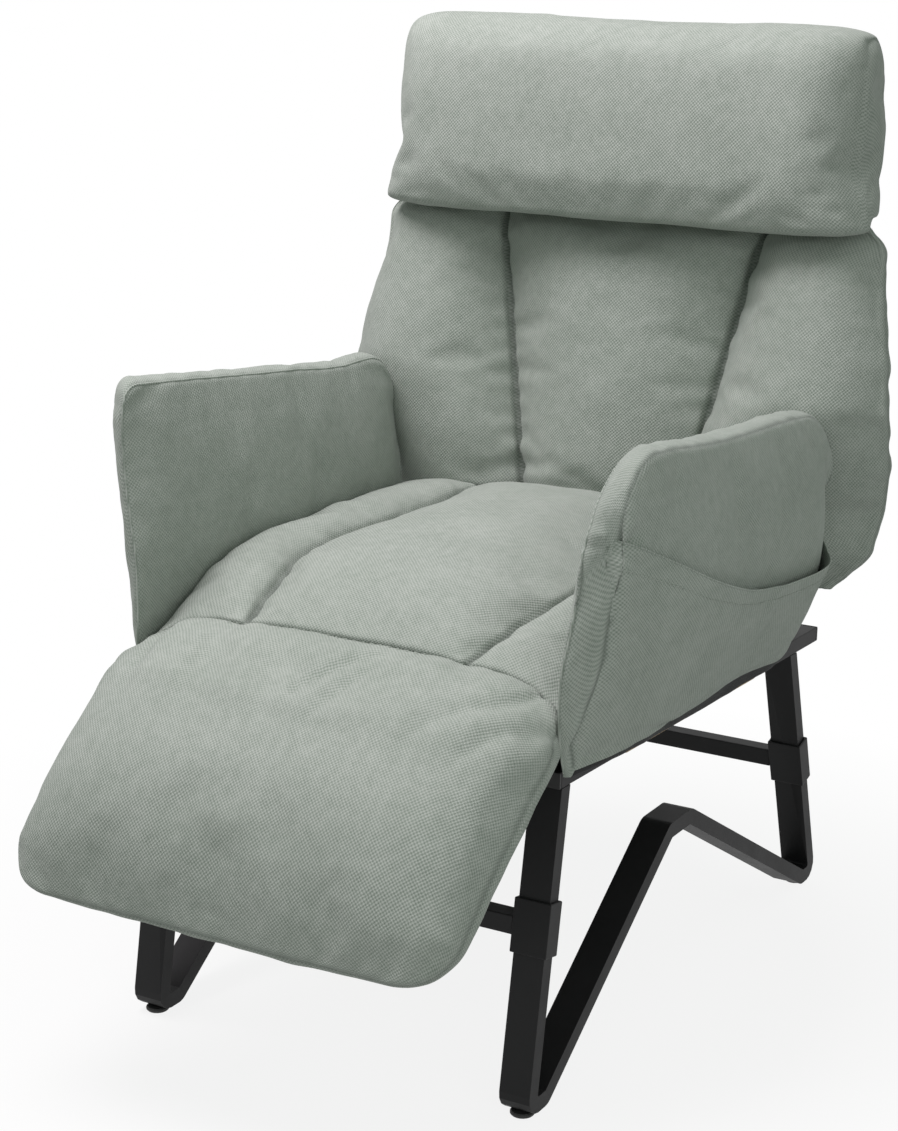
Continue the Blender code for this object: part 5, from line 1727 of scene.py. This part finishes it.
    def make(self) -> Cover:
        """Sew the arm's cover.

        Returns:
            The cover, not yet filled.
        """
        places = shares(self.rows, 0.75)
        ups = shares(self.face, 0.6)
        loft = Loft(f"{self.side.word}_arm", [self.ring(place) for place in places], self.face, self.edge,
                    (0.014, 0.011), flat=True)
        pins = set(loft.hoop(0)) | set(loft.hoop(-1))
        for ring, place in enumerate(places):
            pins.update(loft.hoop(ring, range(2 * self.face + self.edge - 1, loft.around + 1)))
            low, top = self.heights(place)
            held = [k for k, up in enumerate(ups) if low + up * (top - low) < self.held_below]
            pins.update(loft.hoop(ring, held or [0]))
        start, end = self.face + self.edge, 2 * self.face + self.edge
        self.inner_line = (loft.hoop(0, range(2, self.face)) + loft.along(self.face - 1)[1:]
                           + loft.hoop(-1, range(self.face - 2, 1, -1)))
        outer_line = (loft.hoop(0, range(end - 3, start - 1, -1)) + loft.along(start)[1:]
                      + loft.hoop(-1, range(start + 1, end - 2)))
        reach, rise = self.gusset
        gusset = [SEAT_FRAME.world(self.point(reach * s, rise * (1 - s), 1.0)) for s in shares(24, 0.0)]
        seams = [Seam(tuple(line), depth=0.0016, width=0.0034, pucker=0.0006, wave=0.028, reach=0.022, shade=shade)
                 for line, shade in ((self.inner_line, 0.4), (outer_line, 0.75))]
        seams.append(Seam(trace=tuple(Vector((self.side.value * p.x, p.y, p.z)) for p in gusset), depth=0.0012,
                          width=0.0035, pucker=0.0006, wave=0.02, reach=0.018, shade=0.4))
        self.cover = Cover(loft, seams, pins, Filling(pressure=4.5, cap=0.016, slack=0.006, bending=2.0), lump=0.0018,
                           lump_size=0.10, seed=11.0 + self.side.value)
        for number in range((self.rows - 1) * loft.around):
            under = number % loft.around >= 2 * self.face + self.edge - 1
            self.cover.obj.data.polygons[number].material_index = int(under)
        return self.cover

    def folds(self, place: Vector) -> float:
        """Soft puckers under the top seam, and the pinch where the pocket's mouth is sewn in.

        Args:
            place: A point of the chair.

        Returns:
            Height of the folds there.
        """
        local = SEAT_FRAME.local(place)
        along = (local.y - self.front) / self.length
        down = self.heights(clamp(along))[1] - local.z
        fade = smooth_step(down / self.pucker_in) * (1 - ramp(down, self.pucker_out))
        fade *= 1 - 0.5 * smooth_step(along / self.pucker_reach)
        wave = ripple(local.y, down, (*self.pucker_size, 4.4 + self.side.value))
        spot = self.point(*self.pinch_spot)
        y, z = local.y - spot.y, local.z - spot.z
        gap = math.hypot(y, z, abs(local.x) - spot.x)
        pinch = -self.pinch_depth * bell(gap, self.pinch_width)
        ring = bell(gap - self.pinch_ring[0], self.pinch_ring[1])
        pinch += self.pinch_folds * math.cos(5.0 * math.atan2(z, y) + 0.9) * ring
        return self.pucker * fade * wave + pinch * (1.0 if self.side is Side.LEFT else self.far_pinch)

    def dress(self, shop: Workshop) -> None:
        """Finish the arm, with a fine ridge along the seam of its inner panel.

        Args:
            shop: Finishes and trim.
        """
        super().dress(shop)
        shop.pipe(f"{self.side.word}_arm_ridge", self.cover.path(self.inner_line), self.ridge_radius)


# Pockets


@dataclass
class SidePocket:
    """A panel sewn to the outer side of an arm, with a hemmed mouth that hangs open."""

    arm: ArmPad
    mouth: Profile = Profile(((-0.2171, 0.580), (-0.1421, 0.546), (-0.0371, 0.499), (0.0400, 0.474), (0.1199, 0.461),
                              (0.1900, 0.456), (0.2400, 0.460), (0.2729, 0.472)))
    foot: float = 0.034
    swell: float = 0.012
    swell_fullness: float = 2.2
    columns: int = 66
    levels: int = 27
    thickness: float = 0.0014
    sink: float = 0.0030
    sink_reach: float = 0.010
    hem_radius: float = 0.0009
    trim_lift: float = 0.0006
    stitch_row: int = -5
    stitches: Triple = (0.0065, 0.0045, 0.0009)
    inset: float = 0.004
    run: float = 0.988
    ends: Pair = (0.45, 0.12)
    lift: float = 0.0005
    ruffle: float = 0.0012
    ruffle_size: Pair = (0.06, 0.05)
    arm_rise: float = 0.29
    spot_up: float = 0.35
    clear_of_arm: float = 0.6

    def lay_out(self) -> list[list[Vector]]:
        """Lay the panel's points on the arm.

        Returns:
            Columns from the front to the rear, each from the foot to the mouth.
        """
        sign = self.arm.side.value
        mesh = self.arm.cover.obj.data
        tree = BVHTree.FromPolygons([v.co for v in mesh.vertices], [tuple(p.vertices) for p in mesh.polygons])
        grid: list[list[Vector]] = []
        for share in shares(self.columns, 0.35):
            along = self.inset + self.run * share
            column = []
            spot = SEAT_FRAME.world(self.arm.point(along, self.spot_up, 1.0))
            low = SEAT_FRAME.world(Vector((0, SEAT_FRAME.local(spot).y, self.foot))).z
            low += self.arm.heel_cut * quarter((1 - along) * self.arm.length, self.arm.heel_corner)
            high = self.mouth.at(spot.y)
            ends = smooth_step(share / self.ends[0]) * smooth_step((1 - share) / self.ends[1])
            for level in shares(self.levels, 0.3):
                z = low + level * (high - low)
                rise = SEAT_FRAME.local((0, spot.y, z)).z - self.arm.bottom
                up = clamp(rise / self.arm_rise)
                start = SEAT_FRAME.world(self.arm.point(along, up, 1.0))
                hit = tree.ray_cast(Vector((sign * self.clear_of_arm, start.y, z)), Vector((-sign, 0, 0)))[0]
                x = hit.x if hit is not None else sign * start.x
                gap = self.lift + self.swell * ends * level ** self.swell_fullness
                gap += self.ruffle * ends * ripple(start.y, z, (*self.ruffle_size, 3.0 + sign))
                rim = min(share * self.arm.length, (1 - share) * self.arm.length, z - low)
                gap -= self.sink * (1 - smooth_step(rim / self.sink_reach))
                column.append(Vector((x + sign * gap, start.y, z)))
            grid.append(column)
        return grid

    def build(self, shop: Workshop) -> None:
        """Make the panel and sew its hem.

        Args:
            shop: Finishes and trim.
        """
        sign, word = self.arm.side.value, self.arm.side.word
        grid = self.lay_out()
        points = [point for column in grid for point in column]
        faces, marks = [], []
        for i in range(self.columns - 1):
            for j in range(self.levels - 1):
                cells = ((i, j), (i + 1, j), (i + 1, j + 1), (i, j + 1))
                faces.append([a * self.levels + b for a, b in cells])
                marks.append([(grid[a][b].y, grid[a][b].z) for a, b in cells])
        panel = mesh_object(f"{word}_pocket_panel", points, faces, marks)
        self.face_outwards(panel, sign)
        wall = panel.modifiers.new("wall", "SOLIDIFY")
        wall.thickness, wall.offset = self.thickness, 1.0
        finer_mesh(panel)
        panel.data.materials.append(shop.finishes.cloth)
        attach(panel, Body.BASE.value)
        note_piece(panel, [f"{word}_arm_pocket"])
        width = travelled([column[-1] for column in grid])[-1]
        length = max(travelled(column)[-1] for column in grid)
        out = Vector((sign * (self.thickness + self.trim_lift), 0, 0))
        hem = [column[-1] + out * 0.5 for column in grid]
        rolled = shop.pipe(f"{word}_pocket_hem", hem, self.hem_radius)
        row = [column[self.stitch_row] + out for column in grid[1:-1]]
        stitches = shop.stitch(f"{word}_pocket_stitches", row, self.stitches)

    @staticmethod
    def face_outwards(panel: bpy.types.Object, sign: float) -> None:
        """Turn an open panel's faces away from the chair.

        Args:
            panel: The panel.
            sign: The side of the chair that it is on.
        """
        mean = sum(face.normal.x for face in panel.data.polygons)
        if mean * sign < 0:
            panel.data.flip_normals()


# Studio


@dataclass(frozen=True)
class SoftLight:
    """A square area light, with its power in watts and its spread in degrees."""

    name: str
    place: Triple
    goal: Triple
    size: float
    power: float
    colour: Triple
    spread: float = 180.0

    def hang(self) -> None:
        """Put the light in its place, pointed at its goal."""
        lamp = bpy.data.lights.new(self.name, "AREA")
        lamp.size, lamp.energy, lamp.color = self.size, self.power, self.colour
        lamp.spread = math.radians(self.spread)
        obj = link_object(self.name, lamp)
        obj.location = self.place
        obj.rotation_euler = (Vector(self.goal) - Vector(self.place)).to_track_quat("-Z", "Y").to_euler()


@dataclass
class Studio:
    """The pale floor, the soft lights and the camera."""

    lights: tuple[SoftLight, ...] = (
        SoftLight("key_light", (-0.60, -0.40, 2.60), (0.0, 0.0, 0.45), 1.3, 55.0, (1.0, 0.93, 0.975)),
        SoftLight("front_light", (2.2, -1.5, 1.1), (0.2, 0.0, 0.5), 1.2, 1.1, (0.97, 1.0, 0.97), 45.0))
    floor_half: float = 30.0
    floor_z: float = -0.0004
    azimuth: float = 30.86
    elevation: float = 16.10
    lens: float = 79.095
    camera_place: Triple = (1.28484, -2.1734, 1.19094)

    def build(self) -> None:
        """Set up the floor, the lights, the world and the camera."""
        self.build_floor()
        self.build_world()
        for light in self.lights:
            light.hang()
        self.build_camera()

    @staticmethod
    def seen_directly(board: NodeBoard) -> bpy.types.NodeSocket:
        """Tell what is seen from what only gives light.

        Args:
            board: The board of the material or the world.

        Returns:
            A factor of 1 for what the camera, a gloss or a glass shows.
        """
        path = board.add("ShaderNodeLightPath")
        shown = board.sum("MAXIMUM", path.outputs["Is Camera Ray"], path.outputs["Is Glossy Ray"])
        return board.sum("MAXIMUM", shown, path.outputs["Is Transmission Ray"])

    def build_floor(self) -> None:
        """A wide pale floor that keeps a faint shadow and fades to white."""
        half = self.floor_half
        corners = [Vector((x * half, y * half, self.floor_z)) for x, y in ((-1, -1), (1, -1), (1, 1), (-1, 1))]
        floor = mesh_object("studio_floor", corners, [(0, 1, 2, 3)])
        material = bpy.data.materials.new("pale_floor")
        material.use_nodes = True
        material.node_tree.nodes.clear()
        board = NodeBoard(material.node_tree)
        space = board.add("ShaderNodeTexCoord").outputs["Object"]
        reach = board.add("ShaderNodeVectorMath", {0: space}, operation="LENGTH").outputs["Value"]
        near = board.add("ShaderNodeMapRange", {0: reach, 1: 0.40, 2: 0.95, 3: 0.14, 4: 0.0})
        matt = board.add("ShaderNodeBsdfDiffuse", {"Color": (0.8, 0.8, 0.8, 1.0)})
        bounce = board.add("ShaderNodeBsdfDiffuse", {"Color": (0.55, 0.55, 0.55, 1.0)})
        white = board.add("ShaderNodeEmission", {"Color": (1.0, 1.0, 1.0, 1.0), "Strength": 1.0})
        seen = board.add("ShaderNodeMixShader", {0: near.outputs[0], 1: white.outputs[0], 2: matt.outputs[0]})
        both = board.add("ShaderNodeMixShader", {0: self.seen_directly(board), 1: bounce.outputs[0],
                                                 2: seen.outputs[0]})
        board.add("ShaderNodeOutputMaterial", {0: both.outputs[0]})
        floor.data.materials.append(material)

    def build_world(self) -> None:
        """White to the eye, softer as light."""
        world = bpy.data.worlds.new("studio")
        world.use_nodes = True
        world.node_tree.nodes.clear()
        board = NodeBoard(world.node_tree)
        soft = board.add("ShaderNodeBackground", {"Color": (0.93, 1.0, 0.94, 1.0), "Strength": 0.37})
        white = board.add("ShaderNodeBackground", {"Color": (1.0, 1.0, 1.0, 1.0), "Strength": 1.0})
        both = board.add("ShaderNodeMixShader", {0: self.seen_directly(board), 1: soft.outputs[0],
                                                 2: white.outputs[0]})
        board.add("ShaderNodeOutputWorld", {0: both.outputs[0]})
        bpy.context.scene.world = world

    def build_camera(self) -> None:
        """The camera at the photograph's angle."""
        data = bpy.data.cameras.new("camera")
        data.lens, data.sensor_width, data.sensor_fit = self.lens, 36.0, "AUTO"
        data.clip_start, data.clip_end = 0.05, 100.0
        camera = link_object("camera", data)
        camera.location = self.camera_place
        camera.rotation_euler = (math.radians(90 - self.elevation), 0.0, math.radians(self.azimuth))
        bpy.context.scene.camera = camera


def main() -> None:
    """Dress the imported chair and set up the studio."""
    logging.basicConfig(level=logging.INFO, format="%(name)s: %(message)s")
    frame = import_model()
    bpy.context.scene.view_settings.view_transform = "Standard"
    shop = Workshop(Finishes(), Trim())
    seat = SeatCushion()
    arms = [ArmPad(side) for side in Side]
    padded = [seat, FootrestPad(seat), BackCushion(), HeadPillow(), *arms]
    fill_covers([piece.make() for piece in padded])
    for piece in padded:
        piece.dress(shop)
    for arm in arms:
        SidePocket(arm).build(shop)
    shop.finishes.dress_solids(frame["nodes"])
    Studio().build()


if __name__ == "__main__":
    main()
